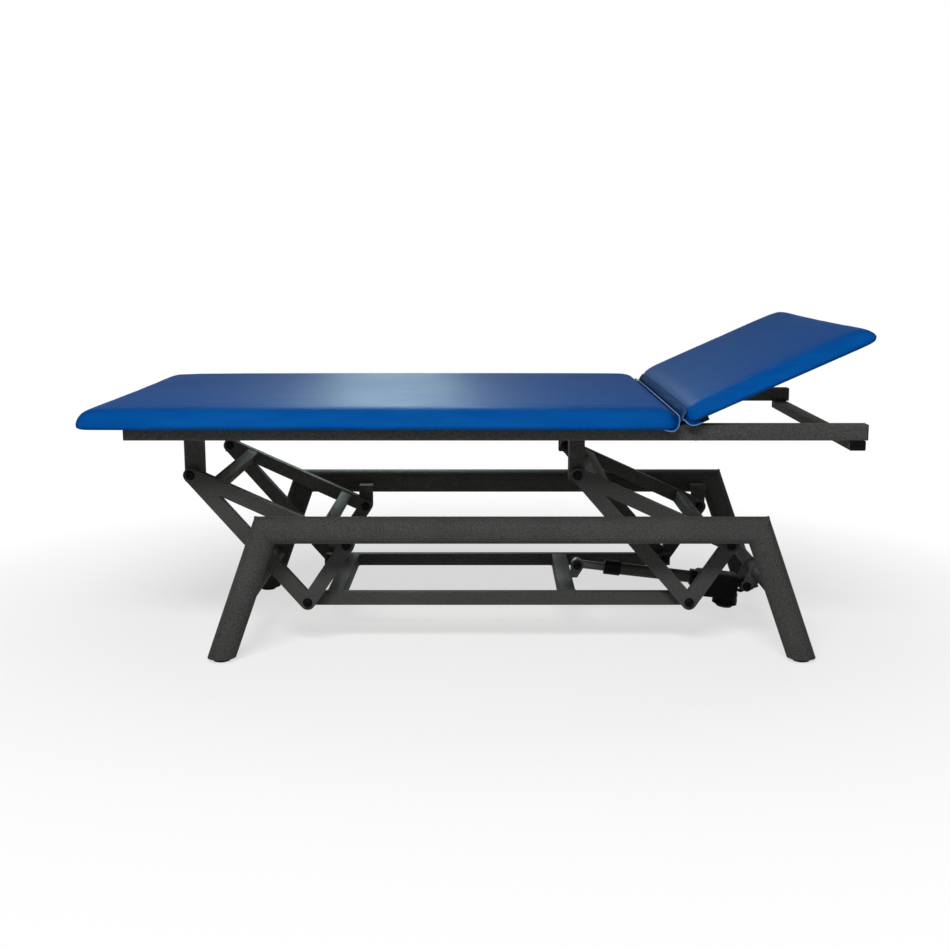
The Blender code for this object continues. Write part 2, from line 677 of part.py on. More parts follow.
def fork_bolt_seen_from_eye(lift):
    """Where the fork bolt lies in the rear eye, along and above the axis, when the lift has turned.

    The rod turns and the cylinder slides in constant ratios to the lift, so the bolt drifts in its slot.
    """
    turned = CRANK_ANGLE - lift
    pin = Vector((
        ROD_PIN[0] + CRANK_LENGTH * (math.cos(CRANK_ANGLE) - math.cos(turned)),
        ROD_PIN[1] + CRANK_LENGTH * (math.sin(CRANK_ANGLE) - math.sin(turned)),
    ))
    tilt = ACTUATOR_TILT + ROD_TURN_PER_LIFT * lift
    away = Vector(FORK_BOLT) - pin
    along = away.x * math.cos(tilt) - away.y * math.sin(tilt)
    above = away.x * math.sin(tilt) + away.y * math.cos(tilt)
    return (along - STROKE_PER_LIFT * lift, above)


def build_rear_eye():
    """A slotted lug behind the gearbox. Its slot follows the drift of the fork bolt."""
    low, high = LIFT_RANGE
    lifts = [low + (high - low) * i / DRIFT_STEPS for i in range(DRIFT_STEPS + 1)]
    drift = [Vector(fork_bolt_seen_from_eye(lift)) for lift in lifts]
    home = Vector((ACTUATOR_LENGTH, 0.0))
    far = max(drift, key=lambda point: (point - home).length)
    toward = (far - home).normalized()
    near = max(drift, key=lambda point: (home - point).dot(toward))
    start = tuple(home + toward * (near - home).dot(toward))
    half = ROD_PIN_R + SLOT_SIDE_CLEARANCE
    wall = half + REAR_EYE_WALL
    slot = belt([(start, half), (tuple(far), half)])
    face = GEARBOX_END + GAP
    root = (face, 0.0)
    outline = belt([(start, wall), (root, GEARBOX_UP - GEARBOX_ROUND), (tuple(far), wall)])
    outline = [(max(x, face), z) for x, z in outline]
    lug = plate_mesh([outline, slot], -REAR_EYE_W / 2, REAR_EYE_W / 2)
    finish("actuator_rear_eye", tilted(lug), black_plastic, "cylinder")


# Top frame
def build_rails():
    """Side rails with a hinge ear each, an end tube under them and plastic caps in the open ends."""
    middle = Vector(((RAIL_HEAD_X + RAIL_FOOT_X) / 2, RAIL_OUTER_Y - RAIL_W / 2, RAIL_TOP - RAIL_H / 2))
    size = Vector((RAIL_HEAD_X - RAIL_FOOT_X, RAIL_W, RAIL_H))
    cap = box_mesh(Vector((CAP_T, RAIL_W, RAIL_H)), Vector((0, 0, 0)), 0.0, RIGHT, TUBE_ROUND)
    cap_x = {"foot": RAIL_FOOT_X - GAP - CAP_T / 2, "head": RAIL_HEAD_X + GAP + CAP_T / 2}
    ear_outline = arc(HINGE, EAR_R, 0.0, math.pi)
    ear_outline += [(HINGE_X - EAR_R, EAR_FOOT_Z), (HINGE_X + EAR_R, EAR_FOOT_Z)]
    hole = circle(HINGE, HINGE_PIN_R + BORE_CLEARANCE)
    for label, side in SIDES.items():
        centre = Vector((middle.x, side * middle.y, middle.z))
        rail = finish(f"rail_{label}", box_mesh(size, centre, 0.0, RIGHT, TUBE_ROUND), powder_coat, "top")
        ear = plate_mesh([ear_outline, hole], *side_depths(side, EAR_INNER_Y, RAIL_INNER_Y + EAR_T / 2))
        cut(rail, ear, "top", "UNION")
        for end_name, x in cap_x.items():
            place = Matrix.Translation((x, centre.y, centre.z))
            finish(f"rail_cap_{end_name}_{label}", cap, black_plastic, "top", place)
    end_z = RAIL_BOTTOM - GAP - END_TUBE_H / 2
    end_half = RAIL_OUTER_Y - CAP_T - GAP
    size = Vector((END_TUBE_W, 2 * end_half, END_TUBE_H))
    end_tube = box_mesh(size, Vector((END_TUBE_X, 0.0, end_z)), 0.0, ALONG_Y, TUBE_ROUND)
    finish("end_tube", end_tube, powder_coat, "top")
    end_cap = box_mesh(Vector((END_TUBE_W, CAP_T, END_TUBE_H)), Vector((0, 0, 0)), 0.0, ALONG_Y, TUBE_ROUND)
    for label, side in SIDES.items():
        place = Matrix.Translation((END_TUBE_X, side * (end_half + GAP + CAP_T / 2), end_z))
        finish(f"end_tube_cap_{label}", end_cap, black_plastic, "top", place)


def cross_tube_mesh(x):
    size = Vector((CROSS_TUBE_W, 2 * (RAIL_INNER_Y - GAP), RAIL_H))
    return box_mesh(size, Vector((x, 0.0, RAIL_TOP - RAIL_H / 2)), 0.0, ALONG_Y, TUBE_ROUND)


def build_posts():
    """Cross tubes with two posts each, both behind their arm. The back ones pass inside the base tube."""
    depths = {"front": (-ARM_OUTER_Y, FRONT_POST_D), "back": (ARM_INNER_Y, BACK_POST_D)}
    bolts = {label: bolt_mesh(ARM_THICK + depth + 2 * TURN_GAP) for label, (arm_y, depth) in depths.items()}
    for end_name, pivot in TOP_PIVOT.items():
        frame = finish(f"post_frame_{end_name}", cross_tube_mesh(pivot[0]), powder_coat, "top")
        low, high = pivot[1] - POST_BELOW_PIVOT, RAIL_TOP - RAIL_H / 2
        for label, (arm_y, depth) in depths.items():
            start = arm_y + ARM_THICK + TURN_GAP
            size = Vector((POST_W, depth, high - low))
            centre = Vector((pivot[0], start + depth / 2, (low + high) / 2))
            cut(frame, box_mesh(size, centre, 0.0, UP, TUBE_ROUND), "top", "UNION")
            bore = [at(pivot, start - ARM_THICK), at(pivot, start + depth + ARM_THICK)]
            cut(frame, bar_mesh(*bore, BOLT_R + BORE_CLEARANCE, PIN_SIDES), "top")
            place = across(pivot, arm_y - TURN_GAP)
            finish(f"top_bolt_{end_name}_{label}", bolts[label], black_steel, "top", place)


# Upholstery
def board_mesh(start, end):
    size = Vector((end - start, 2 * BOARD_HALF_W, BOARD_T))
    centre = Vector(((start + end) / 2, 0.0, BOARD_BOTTOM + BOARD_T / 2))
    return box_mesh(size, centre, 0.0, UP, BOARD_CORNER, 4)


def round_corner(x, y, half_length):
    """Moves a point of a square-cornered outline so that the corners become round."""
    dx, dy = abs(x) - (half_length - PAD_CORNER), abs(y) - (PAD_HALF_W - PAD_CORNER)
    if dx <= 0 or dy <= 0:
        return x, y
    shrink = max(dx, dy) / math.hypot(dx, dy)
    new_x, new_y = half_length - PAD_CORNER + dx * shrink, PAD_HALF_W - PAD_CORNER + dy * shrink
    return math.copysign(new_x, x), math.copysign(new_y, y)


def rolled_height(share, bottom):
    """The height of a cushion's top at a share of the way across its roll, which ends in a low nose."""
    nose = bottom + PAD_NOSE
    share = min(1.0, max(0.0, share))
    return nose + (PAD_TOP - nose) * math.sqrt(1 - (1 - share) ** 2)


def cushion_mesh(start, end, bottom, hinge_side):
    """A soft slab with a crown, drawn-in sides, round corners and rolled edges, from a smoothed cage."""
    half_length, middle = (end - start) / 2, (start + end) / 2
    bm = bmesh.new()
    bmesh.ops.create_cube(bm, size=2.0)
    bmesh.ops.scale(bm, vec=(half_length, PAD_HALF_W, 1.0), verts=bm.verts)
    for normal, half in ((RIGHT, half_length), (ALONG_Y, PAD_HALF_W)):
        for offset in [half - loop for loop in PAD_LOOPS] + [half * PAD_LOOP]:
            for plane in (normal * offset, normal * -offset):
                geometry = bm.verts[:] + bm.edges[:] + bm.faces[:]
                bmesh.ops.bisect_plane(bm, geom=geometry, plane_co=plane, plane_no=normal)
    for vert in bm.verts:
        x, y, z = vert.co
        u, v = x / half_length, y / PAD_HALF_W
        end_inset, side_inset = half_length - abs(x), PAD_HALF_W - abs(y)
        end_roll = HINGE_ROLL if x * hinge_side > 0 else END_ROLL
        share = min(end_inset / end_roll, side_inset / SIDE_ROLL)
        x, y = round_corner(x, y, half_length)
        draw_x = 1 - PAD_DRAW_IN / half_length * (1 - v * v) * u * u
        draw_y = 1 - PAD_DRAW_IN / PAD_HALF_W * (1 - u * u) * v * v
        if z > 0:
            height = rolled_height(share, bottom) + PAD_CROWN * (1 - u ** 4) * (1 - v ** 4)
        else:
            at_edge = min(end_inset, side_inset) < PAD_UNDERCUT
            height = bottom + (PAD_UNDERCUT if at_edge else 0.0)
        vert.co = (x * draw_x + middle, y * draw_y, height)
    cage = bpy.data.objects.new("cage", to_mesh(bm, "cage"))
    parts.objects.link(cage)
    smooth = cage.modifiers.new("smooth", "SUBSURF")
    smooth.levels = smooth.render_levels = 1
    return evaluated_mesh(cage)


def build_section(name, body, cushion, board):
    """A board and the cushion that wraps over its edges, and stays above the rails at the hinge."""
    finish(f"{name}_board", board_mesh(*board), plywood, body)
    middle = (board[0] + board[1]) / 2
    pad = finish(f"{name}_cushion", cushion_mesh(*cushion, PAD_BOTTOM[name], HINGE_X - middle), vinyl, body)
    under = sorted((middle, HINGE_X))
    for (start, end), top in ((board, BOARD_BOTTOM + BOARD_T), (under, BOARD_BOTTOM)):
        size = Vector((end - start + 2 * GAP, 2 * (BOARD_HALF_W + GAP), 2 * RAIL_H))
        cut(pad, box_mesh(size, Vector(((start + end) / 2, 0.0, top + GAP - RAIL_H))), body)


# Head hinge and gas spring
def build_hinge_arms():
    """Cranked plates under the head board, each with the stud that turns in its rail's ear."""
    high = BOARD_BOTTOM - GAP
    low = high - HINGE_ARM_H
    end = HINGE_X + HINGE_ARM_REACH
    outline = arc(HINGE, EAR_R, 0.0, math.pi) + [(HINGE_X - EAR_R, low), (end, low), (end, high)]
    outline.append((HINGE_X + EAR_R, high))
    for label, side in SIDES.items():
        plate = plate_mesh([outline], *side_depths(side, HINGE_ARM_OUTER_Y - EAR_T, HINGE_ARM_OUTER_Y))
        arm = finish(f"hinge_arm_{label}", plate, powder_coat, "head")
        stud = [at(HINGE, side * y) for y in (HINGE_ARM_OUTER_Y - EAR_T / 2, RAIL_INNER_Y + EAR_T / 2)]
        cut(arm, bar_mesh(*stud, HINGE_PIN_R, PIN_SIDES), "head", "UNION")


def add_clevis(part, body, pin_place, top_z, top_x):
    """Joins two ears and a pin to a part. The ears' tops lie inside it, between two places along X."""
    inner = SPRING_EYE_W / 2 + TURN_GAP
    outer = inner + SPRING_EAR_T
    outline = arc(pin_place, SPRING_EAR_R, math.pi, 2 * math.pi)
    outline += [(top_x[1], top_z), (top_x[0], top_z)]
    for side in (-1, 1):
        cut(part, plate_mesh([outline], *side_depths(side, inner, outer)), body, "UNION")
    reach = inner + SPRING_EAR_T / 2
    pin = bar_mesh(at(pin_place, -reach), at(pin_place, reach), SPRING_PIN_R, PIN_SIDES)
    cut(part, pin, body, "UNION")


def build_spring_brackets():
    middle = SPRING_FRAME_PIN[0]
    tube = finish("spring_tube", cross_tube_mesh(middle), powder_coat, "top")
    reach = CROSS_TUBE_W / 2 - 2 * TUBE_ROUND
    add_clevis(tube, "top", SPRING_FRAME_PIN, RAIL_BOTTOM + TUBE_ROUND, (middle - reach, middle + reach))
    start = HEAD_FOOT_X + HINGE_LIP
    size = Vector((HEAD_BRACKET_L, 4 * SPRING_EAR_R, SPRING_EAR_T))
    centre = Vector((start + HEAD_BRACKET_L / 2, 0.0, BOARD_BOTTOM - GAP - SPRING_EAR_T / 2))
    bracket = finish("spring_bracket", box_mesh(size, centre), powder_coat, "head")
    ears = (start + SPRING_EAR_T, start + HEAD_BRACKET_L - SPRING_EAR_T)
    add_clevis(bracket, "head", SPRING_HEAD_PIN_FLAT, centre.z, ears)


def build_gas_spring():
    start, end = at(SPRING_FRAME_PIN), at(SPRING_HEAD_PIN)
    tilt = UP.rotation_difference((end - start).normalized()).to_matrix().to_4x4()
    length = (end - start).length
    bore = SPRING_ROD_R + BORE_CLEARANCE
    bore_end = SPRING_NECK + SPRING_CYLINDER_R
    tube = turned_mesh([
        (0.0, bore_end), (bore, bore_end), (bore, SPRING_CYLINDER_END),
        (SPRING_CYLINDER_R, SPRING_CYLINDER_END), (SPRING_CYLINDER_R, SPRING_NECK),
        (SPRING_EYE_W / 2, SPRING_NECK), (SPRING_EYE_W / 2, SPRING_EYE_R / 2), (0.0, SPRING_EYE_R / 2),
    ], PIN_SIDES)
    tube.transform(Matrix.Translation(start) @ tilt)
    rod = bar_mesh(UP * (length - SPRING_ROD_L), UP * length, SPRING_ROD_R, PIN_SIDES)
    rod.transform(Matrix.Translation(start) @ tilt)
    pieces = (
        ("gas_spring_cylinder", "spring_tube", tube, SPRING_FRAME_PIN, black_plastic),
        ("gas_spring_rod", "spring_rod", rod, SPRING_HEAD_PIN, bright_steel),
    )
    half = SPRING_EYE_W / 2
    for name, body, mesh, place, material in pieces:
        piece = finish(name, mesh, material, body)
        cut(piece, bar_mesh(at(place, -half), at(place, half), SPRING_EYE_R, PIN_SIDES), body, "UNION")
        hole = bar_mesh(at(place, -2 * half), at(place, 2 * half), SPRING_PIN_R + BORE_CLEARANCE, PIN_SIDES)
        cut(piece, hole, body)


SIDES = {"front": -1, "back": 1}
END_SIGNS = {"foot": -1, "head": 1}
LENGTHWISE = Matrix.Rotation(math.pi / 2, 4, "Y")
build_base_sides()
build_leg_ties()
build_foot_pads()
build_base_bolts()
build_arms()
build_tie_bars()
build_push_tubes()
build_actuator_rod()
build_actuator_cylinder()
build_rear_eye()
build_rails()
build_posts()
build_section("main", "top", (MAIN_FOOT_X, MAIN_HEAD_X), (MAIN_FOOT_X + LIP, MAIN_HEAD_X - HINGE_LIP))
build_section("head", "head", (HEAD_FOOT_X, HEAD_HEAD_X), (HEAD_FOOT_X + HINGE_LIP, HEAD_HEAD_X - LIP))
build_hinge_arms()
build_spring_brackets()
build_gas_spring()
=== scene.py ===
"""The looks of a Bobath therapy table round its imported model: upholstery, hardware, welds and finishes."""

import json
import math

import bmesh
import bpy
import numpy as np
from mathutils import Matrix, Vector

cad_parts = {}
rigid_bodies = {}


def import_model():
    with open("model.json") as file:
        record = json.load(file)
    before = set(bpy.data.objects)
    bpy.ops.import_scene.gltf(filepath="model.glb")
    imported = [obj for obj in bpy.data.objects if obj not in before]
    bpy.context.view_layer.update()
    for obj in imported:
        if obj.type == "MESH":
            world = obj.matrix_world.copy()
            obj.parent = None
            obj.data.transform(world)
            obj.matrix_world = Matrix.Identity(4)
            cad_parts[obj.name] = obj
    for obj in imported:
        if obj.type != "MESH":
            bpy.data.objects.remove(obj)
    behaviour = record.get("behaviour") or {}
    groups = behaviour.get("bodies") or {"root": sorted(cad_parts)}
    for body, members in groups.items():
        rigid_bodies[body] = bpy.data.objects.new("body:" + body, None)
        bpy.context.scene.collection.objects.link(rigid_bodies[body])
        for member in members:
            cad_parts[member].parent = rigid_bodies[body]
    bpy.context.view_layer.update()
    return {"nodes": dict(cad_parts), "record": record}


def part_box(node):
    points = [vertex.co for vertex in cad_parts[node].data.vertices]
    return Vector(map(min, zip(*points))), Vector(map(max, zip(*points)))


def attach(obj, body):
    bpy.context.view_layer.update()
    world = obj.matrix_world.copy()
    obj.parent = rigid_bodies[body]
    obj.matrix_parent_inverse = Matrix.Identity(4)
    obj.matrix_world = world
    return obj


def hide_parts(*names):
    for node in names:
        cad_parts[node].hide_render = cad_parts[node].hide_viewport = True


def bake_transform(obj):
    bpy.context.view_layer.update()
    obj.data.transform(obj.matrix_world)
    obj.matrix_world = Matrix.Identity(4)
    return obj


for leftover in list(bpy.data.objects):
    bpy.data.objects.remove(leftover, do_unlink=True)
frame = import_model()
nodes = frame["nodes"]
body_of = {name: body for body, names in frame["record"]["behaviour"]["bodies"].items() for name in names}

# Places that the model's own source also uses, in metres
BASE_X = 0.09672
BASE_Y = 0.368
BASE_Z = 0.3495
KNEE_X = 0.639
TUBE_R = 0.0354
LEG_SPLAY = math.radians(19.8)
ARM_ANGLE = math.radians(24.7)
ARM_TUBE = 0.033
LEG_TIE_R = 0.018
LEG_TIE_Z = {"foot": 0.1235, "head": 0.156}
PUSH_TUBE_X = {"foot": -0.4773 + BASE_X, "head": 0.1546 + BASE_X}
PUSH_TUBE_W = 0.045
ACTUATOR_LENGTH = 0.488
REAR_REACH = 0.0206
GEARBOX_L = 0.123
GEARBOX_HALF_W = 0.033
MOTOR_INSET = 0.028
ACTUATOR_TILT = math.radians(6.75)
HEAD_TILT = math.radians(24.2)
HINGE = Vector((0.4175 + BASE_X, 0.0, 0.6475))
HEAD_TURN = Matrix.Translation(HINGE) @ Matrix.Rotation(-HEAD_TILT, 4, "Y") @ Matrix.Translation(-HINGE)
ENDS = {"foot": -1, "head": 1}
SIDES = {"front": -1, "back": 1}

# Camera, fitted to the photograph's vanishing points
CAMERA_PLACE = (BASE_X - 0.0582, -3.6557, 1.0619)
CAMERA_PITCH = math.radians(9.798)
CAMERA_LENS = 49.263
CAMERA_SENSOR = 36.0
CAMERA_SHIFT = -0.01505

# Lamps: place, target, size, power in watts, and whether a lamp shows only in gloss
LAMPS = {
    "key": ((-0.6, -3.7, 3.6), (0.0, -0.2, 0.4), (2.4, 0.9), 195.0, False),
    "back_low": ((-0.42, 2.6, 1.10), (-0.2, 0.0, 0.68), (0.6, 0.5), 8.0, True),
    "back_high": ((-0.42, 2.3, 2.50), (-0.2, -0.4, 0.68), (0.7, 1.8), 240.0, True),
    "fill": ((0.6, -4.6, 1.5), (0.1, 0.0, 0.4), (3.0, 1.6), 22.0, False),
}

# Tint of the lamps that show only in gloss, which is cool in the photograph
GLOSS_TINT = (0.78, 1.0, 0.96)

# Light from the world on matt surfaces
AMBIENT = 0.08

# Floor: its size, its drop below the feet, and the share of plain white in its look, which is full far away
FLOOR_HALF = 30.0
FLOOR_CELLS = 8
FLOOR_DROP = 0.0005
FLOOR_WHITE = 0.65
FLOOR_FADE = (0.9, 2.0)
FLOOR_TONES = ((0.86, 0.86, 0.86), (0.90, 0.90, 0.90))
FLOOR_ROUGH = 0.9

# Colours in linear light, gloss, and the stretch of a grain that runs along X
WHITE = (1.0, 1.0, 1.0, 1.0)
BLACK = (0.0015, 0.0015, 0.0015)
NEAR_BLACK = (0.005, 0.005, 0.006)
# Painted highlight: the light grey laid along the powder coat's edges
PAINTED_EDGE_HIGHLIGHT = (0.13, 0.135, 0.13, 1.0)
COAT_GLOSS = 0.025
VINYL_GLOSS = 0.0025
EVEN = (1.0, 1.0, 1.0)
CREASED = (1.0, 6.0, 6.0)
LENGTHWISE = (1.0, 10.0, 10.0)

# Meshes: the distance at which split corners are joined, and the angles above which an edge looks sharp
JOIN_DISTANCE = 0.00002
SOLID_SHARP = math.radians(31.0)
PIECE_SHARP = math.radians(35.0)
WIRE_SHARP = math.radians(60.0)
SHEET_SHARP = math.radians(75.0)

# Cushion covers: remeshing, cloth, and where the cover is free to swell
VOXEL = 0.007
SMOOTH_ROUNDS = 4
CLOTH_QUALITY = 4
COVER_MASS = 0.4
COVER_STIFFNESS = 20.0
COVER_BENDING = 8.0
SWELL_FRAMES = 20
SWELL_PRESSURE = 4.0
SWELL_CAP = 0.004
SWELL_START = 0.0012
FLAT_BELOW = 0.014
RISE_FADE = 0.02
HINGE_CLEAR = 0.012
HINGE_FADE = 0.05
TINY = 1e-9

# Hinge web: its section from the main cushion to the head cushion, and its ripples as height and rate
WEB_BLEND = 0.005
WEB_HALF = 0.474
WEB_TAPER = 0.045
WEB_DROP = 0.011
WEB_T = 0.0012
WEB_ROWS = 61
WEB_RIPPLES = ((0.0003, 1.3), (0.0002, 0.45))
WEB_SECTION = (
    (-0.0200, 0.0110), (-0.0130, 0.0116), (-0.0100, 0.0116), (-0.0070, 0.0104), (-0.0045, 0.0090),
    (-0.0028, 0.0086), (-0.0018, 0.0102), (0.0000, 0.0128), (0.0030, 0.0158), (0.0070, 0.0188),
    (0.0120, 0.0220), (0.0170, 0.0248), (0.0215, 0.0262),
)

# Staples: the path of one from leg to leg
STAPLE_PITCH = 0.045
STAPLE_R = 0.0006
STAPLE_SHAPE = ((-0.0055, 0.0024), (-0.0055, 0.0001), (0.0055, 0.0001), (0.0055, 0.0024))

# Piping, as X and Z places, and the folds of vinyl inside its lower bends
PIPING_R = 0.0017
PIPING_Y = 0.485
PIPING_STEP = 0.004
PIPING_CREST = (0.5066, 0.6612)
CREST_DROP = 0.0022
CREST_HALF = 0.445
MAIN_PIPING = (
    (0.5048, 0.6600), (0.5066, 0.6540), (0.5062, 0.6440), (0.5040, 0.6320), (0.4950, 0.6235),
    (0.4850, 0.6226), (0.4720, 0.6262), (0.4630, 0.6300),
)
HEAD_PIPING = (
    (0.5146, 0.6532), (0.5200, 0.6494), (0.5290, 0.6410), (0.5360, 0.6376), (0.5480, 0.6385),
    (0.5620, 0.6445),
)
FOLD_CENTRES = {"top": (0.4860, 0.6460), "head": (0.5450, 0.6620)}
FOLD_DEPTH = 0.020
FOLD_T = 0.0014
FOLD_STEP = 0.003
FOLD_SHARES = (0.0, 0.25, 0.5, 0.75, 0.95)

# Bolts. A row gives a height, a radius or what is added to one, and whether the ring is a hexagon
SHANK_R = 0.008
PIN_R = 0.006
THIN_PINS = ("rod_pin", "actuator_fork_bolt")
HEAD_R = 0.0115
HEAD_T = 0.008
HEAD_CHAMFER = 0.0006
SOCKET_STEPS = (
    (0.0040, 0.0004, False), (0.0034, 0.00414, True), (0.0004, 0.0046, True), (0.0, 0.0051, True),
    (0.0, 0.0064, False),
)
DOME_R = 0.0064
DOME_RISE = 0.0036
DOME_DEGREES = (20, 40, 60, 78, 90)
WASHER_R = 0.0128
WASHER_T = 0.0006
NUT_R = 0.0100
NUT_T = 0.006
NUT_STEPS = (
    (0.0006, -0.0006, True), (0.0012, 0.0, True), (0.0038, 0.0, True), (0.0044, -0.0007, True),
    (0.0046, -0.0012, False), (0.0056, -0.0022, False),
)
THREAD_STEPS = ((0.0058, 0.0002), (0.0052, -0.0008), (NUT_T, -0.0016))
BOLT_SIDES = 48

# Foot pads: shares of height and radius down the rim, then the sole's rings and the groove of each
PAD_PROFILE = (
    (1.0, 0.86), (0.86, 0.98), (0.74, 1.0), (0.66, 1.0), (0.62, 0.95), (0.50, 0.95), (0.46, 1.0), (0.24, 1.0),
    (0.06, 0.95), (0.0, 0.88),
)
PAD_TOP_R = 0.002
SOLE_R = 0.001
SOLE_RINGS = (0.74, 0.52, 0.30)
SOLE_GROOVE = ((0.0, 0.0), (0.0010, 0.02), (0.0010, 0.08), (0.0, 0.10))

# Tube caps: share of the half depth, inset from the edge and corner radius, from the inside to the dish
CAP_STEPS = (
    (-1.0, 0.0, 0.003), (0.2, 0.0, 0.003), (0.75, 0.0004, 0.003), (1.0, 0.0014, 0.003), (1.0, 0.0052, 0.002),
    (0.55, 0.0066, 0.002), (0.55, 0.012, 0.001),
)

# Weld beads: their ripples are heights and rates
WELD_R = 0.0022
KNEE_WELD_R = 0.0011
WELD_STEP = 0.0025
WELD_RIPPLE = 0.0005
WELD_WAVES = ((1.0, 2.1), (0.3, 0.7))
LOOP_STEPS = 40
ARM_TUBE_CORNER = 0.003

# Sweeps: the fewest steps of a path, the sides of a ring, and how much of a step lies along Y in a cross path
FEWEST_STEPS = 8
SWEEP_SIDES = 10
CROSSWISE = 0.9

# Actuator: motor ribs, the gearbox's parting rim and screws, and the gland nut at the tube's end
RIB_COUNT = 4
RIB_HEIGHT = -0.052
RIB_PITCH = 0.0042
RIB_STEPS = ((-0.0012, 0.0345), (-0.0007, 0.0358), (0.0007, 0.0358), (0.0012, 0.0345))
RIM_OVERHANG = 0.0012
RIM_HALF_W = 0.0342
RIM_CORNER = 0.010
RIM_HEIGHT = -0.006
RIM_STEPS = ((-0.0016, 0.003), (-0.0016, 0.0), (0.0016, 0.0), (0.0016, 0.003))
RIM_SCALE = 0.034
SCREW_SCALE_T = 0.45
SCREW_SCALE_R = 0.38
SCREW_DEPTH = 0.003
SCREW_INSET = 0.012
SCREW_HEIGHTS = (0.012, -0.036)
GLAND_STEPS = (
    (-0.016, 0.0178, False), (-0.016, 0.0215, True), (-0.003, 0.0215, True), (-0.0005, 0.0200, True),
    (-0.0005, 0.0178, False),
)


# Materials
def shader(name):
    """A new material with its node tree and its surface shader."""
    material = bpy.data.materials.new(name)
    material.use_nodes = True
    tree = material.node_tree
    return material, tree, tree.nodes["Principled BSDF"]


def add(tree, kind, settings=None, sockets=None):
    """A node with its settings, and with a value or a link for each socket named."""
    node = tree.nodes.new("ShaderNode" + kind)
    for key, value in (settings or {}).items():
        setattr(node, key, value)
    for key, value in (sockets or {}).items():
        if isinstance(value, bpy.types.NodeSocket):
            tree.links.new(value, node.inputs[key])
        else:
            node.inputs[key].default_value = value
    return node


def place_of(tree, stretch=EVEN, turn=(0.0, 0.0, 0.0)):
    """Coordinates in metres that ride with the piece, stretched along an axis for grain."""
    place = add(tree, "TexCoord").outputs["Object"]
    mapping = add(tree, "Mapping", None, {"Vector": place, "Scale": stretch, "Rotation": turn})
    return mapping.outputs["Vector"]


def noise(tree, place, scale, detail=2.0, rough=0.5):
    sockets = {"Vector": place, "Scale": scale, "Detail": detail, "Roughness": rough}
    return add(tree, "TexNoise", None, sockets).outputs["Fac"]


def span(tree, value, low, high, new_low, new_high):
    """Maps a range of values to another."""
    sockets = {"Value": value, "From Min": low, "From Max": high, "To Min": new_low, "To Max": new_high}
    return add(tree, "MapRange", None, sockets).outputs["Result"]


def ramp(tree, value, *stops):
    """Colours between stops, each a place and a linear colour."""
    node = add(tree, "ValToRGB", None, {"Fac": value})
    elements = node.color_ramp.elements
    while len(elements) < len(stops):
        elements.new(0.5)
    for element, (position, colour) in zip(elements, stops):
        element.position = position
        element.color = (*colour, 1.0)
    return node.outputs["Color"]


def blend_colours(tree, share, first, second):
    node = add(tree, "MixRGB", None, {"Fac": share, "Color1": first, "Color2": second})
    return node.outputs["Color"]


def bump(tree, height, distance, strength, normal=None):
    sockets = {"Height": height, "Distance": distance, "Strength": strength}
    if normal:
        sockets["Normal"] = normal
    return add(tree, "Bump", None, sockets).outputs["Normal"]


def edge_share(tree, radius, soft):
    """The rounded normal at edges, and how close a point is to an edge, from 0 to 1."""
    rounded = add(tree, "Bevel", {"samples": 6}, {"Radius": radius}).outputs["Normal"]
    plain = add(tree, "NewGeometry").outputs["Normal"]
    facing = add(tree, "VectorMath", {"operation": "DOT_PRODUCT"}, {0: rounded, 1: plain}).outputs["Value"]
    return rounded, span(tree, facing, 1.0, soft, 0.0, 1.0)


def make_powder_coat():
    """Fine structured anthracite coat, with a painted highlight in patches along its edges."""
    material, tree, surface = shader("powder_coat_structured")
    place = place_of(tree)
    speckle = noise(tree, place, scale=300.0, detail=5.0, rough=0.72)
    cloud = noise(tree, place, scale=7.0, detail=3.0)
    coat = ramp(tree, speckle, (0.32, (0.020, 0.021, 0.020)), (0.68, (0.072, 0.074, 0.070)))
    dusty = ramp(tree, speckle, (0.32, (0.030, 0.031, 0.029)), (0.68, (0.082, 0.084, 0.080)))
    toned = blend_colours(tree, span(tree, cloud, 0.35, 0.7, 0.0, 0.6), coat, dusty)
    rounded, edge = edge_share(tree, radius=0.0022, soft=0.80)
    # Painted highlight: edges take a light grey in patches, standing in for light caught on them
    thin = span(tree, cloud, 0.3, 0.7, 0.25, 0.75)
    painted_highlight = add(tree, "Math", {"operation": "MULTIPLY"}, {0: edge, 1: thin}).outputs["Value"]
    colour = blend_colours(tree, painted_highlight, toned, PAINTED_EDGE_HIGHLIGHT)
    tree.links.new(colour, surface.inputs["Base Color"])
    tree.links.new(span(tree, speckle, 0.3, 0.7, 0.68, 0.52), surface.inputs["Roughness"])
    orange_peel = noise(tree, place, scale=420.0)
    skin = bump(tree, orange_peel, distance=0.0008, strength=0.5, normal=rounded)
    specks = bump(tree, speckle, distance=0.0004, strength=0.5, normal=skin)
    tree.links.new(specks, surface.inputs["Normal"])
    surface.inputs["Specular IOR Level"].default_value = COAT_GLOSS
    return material


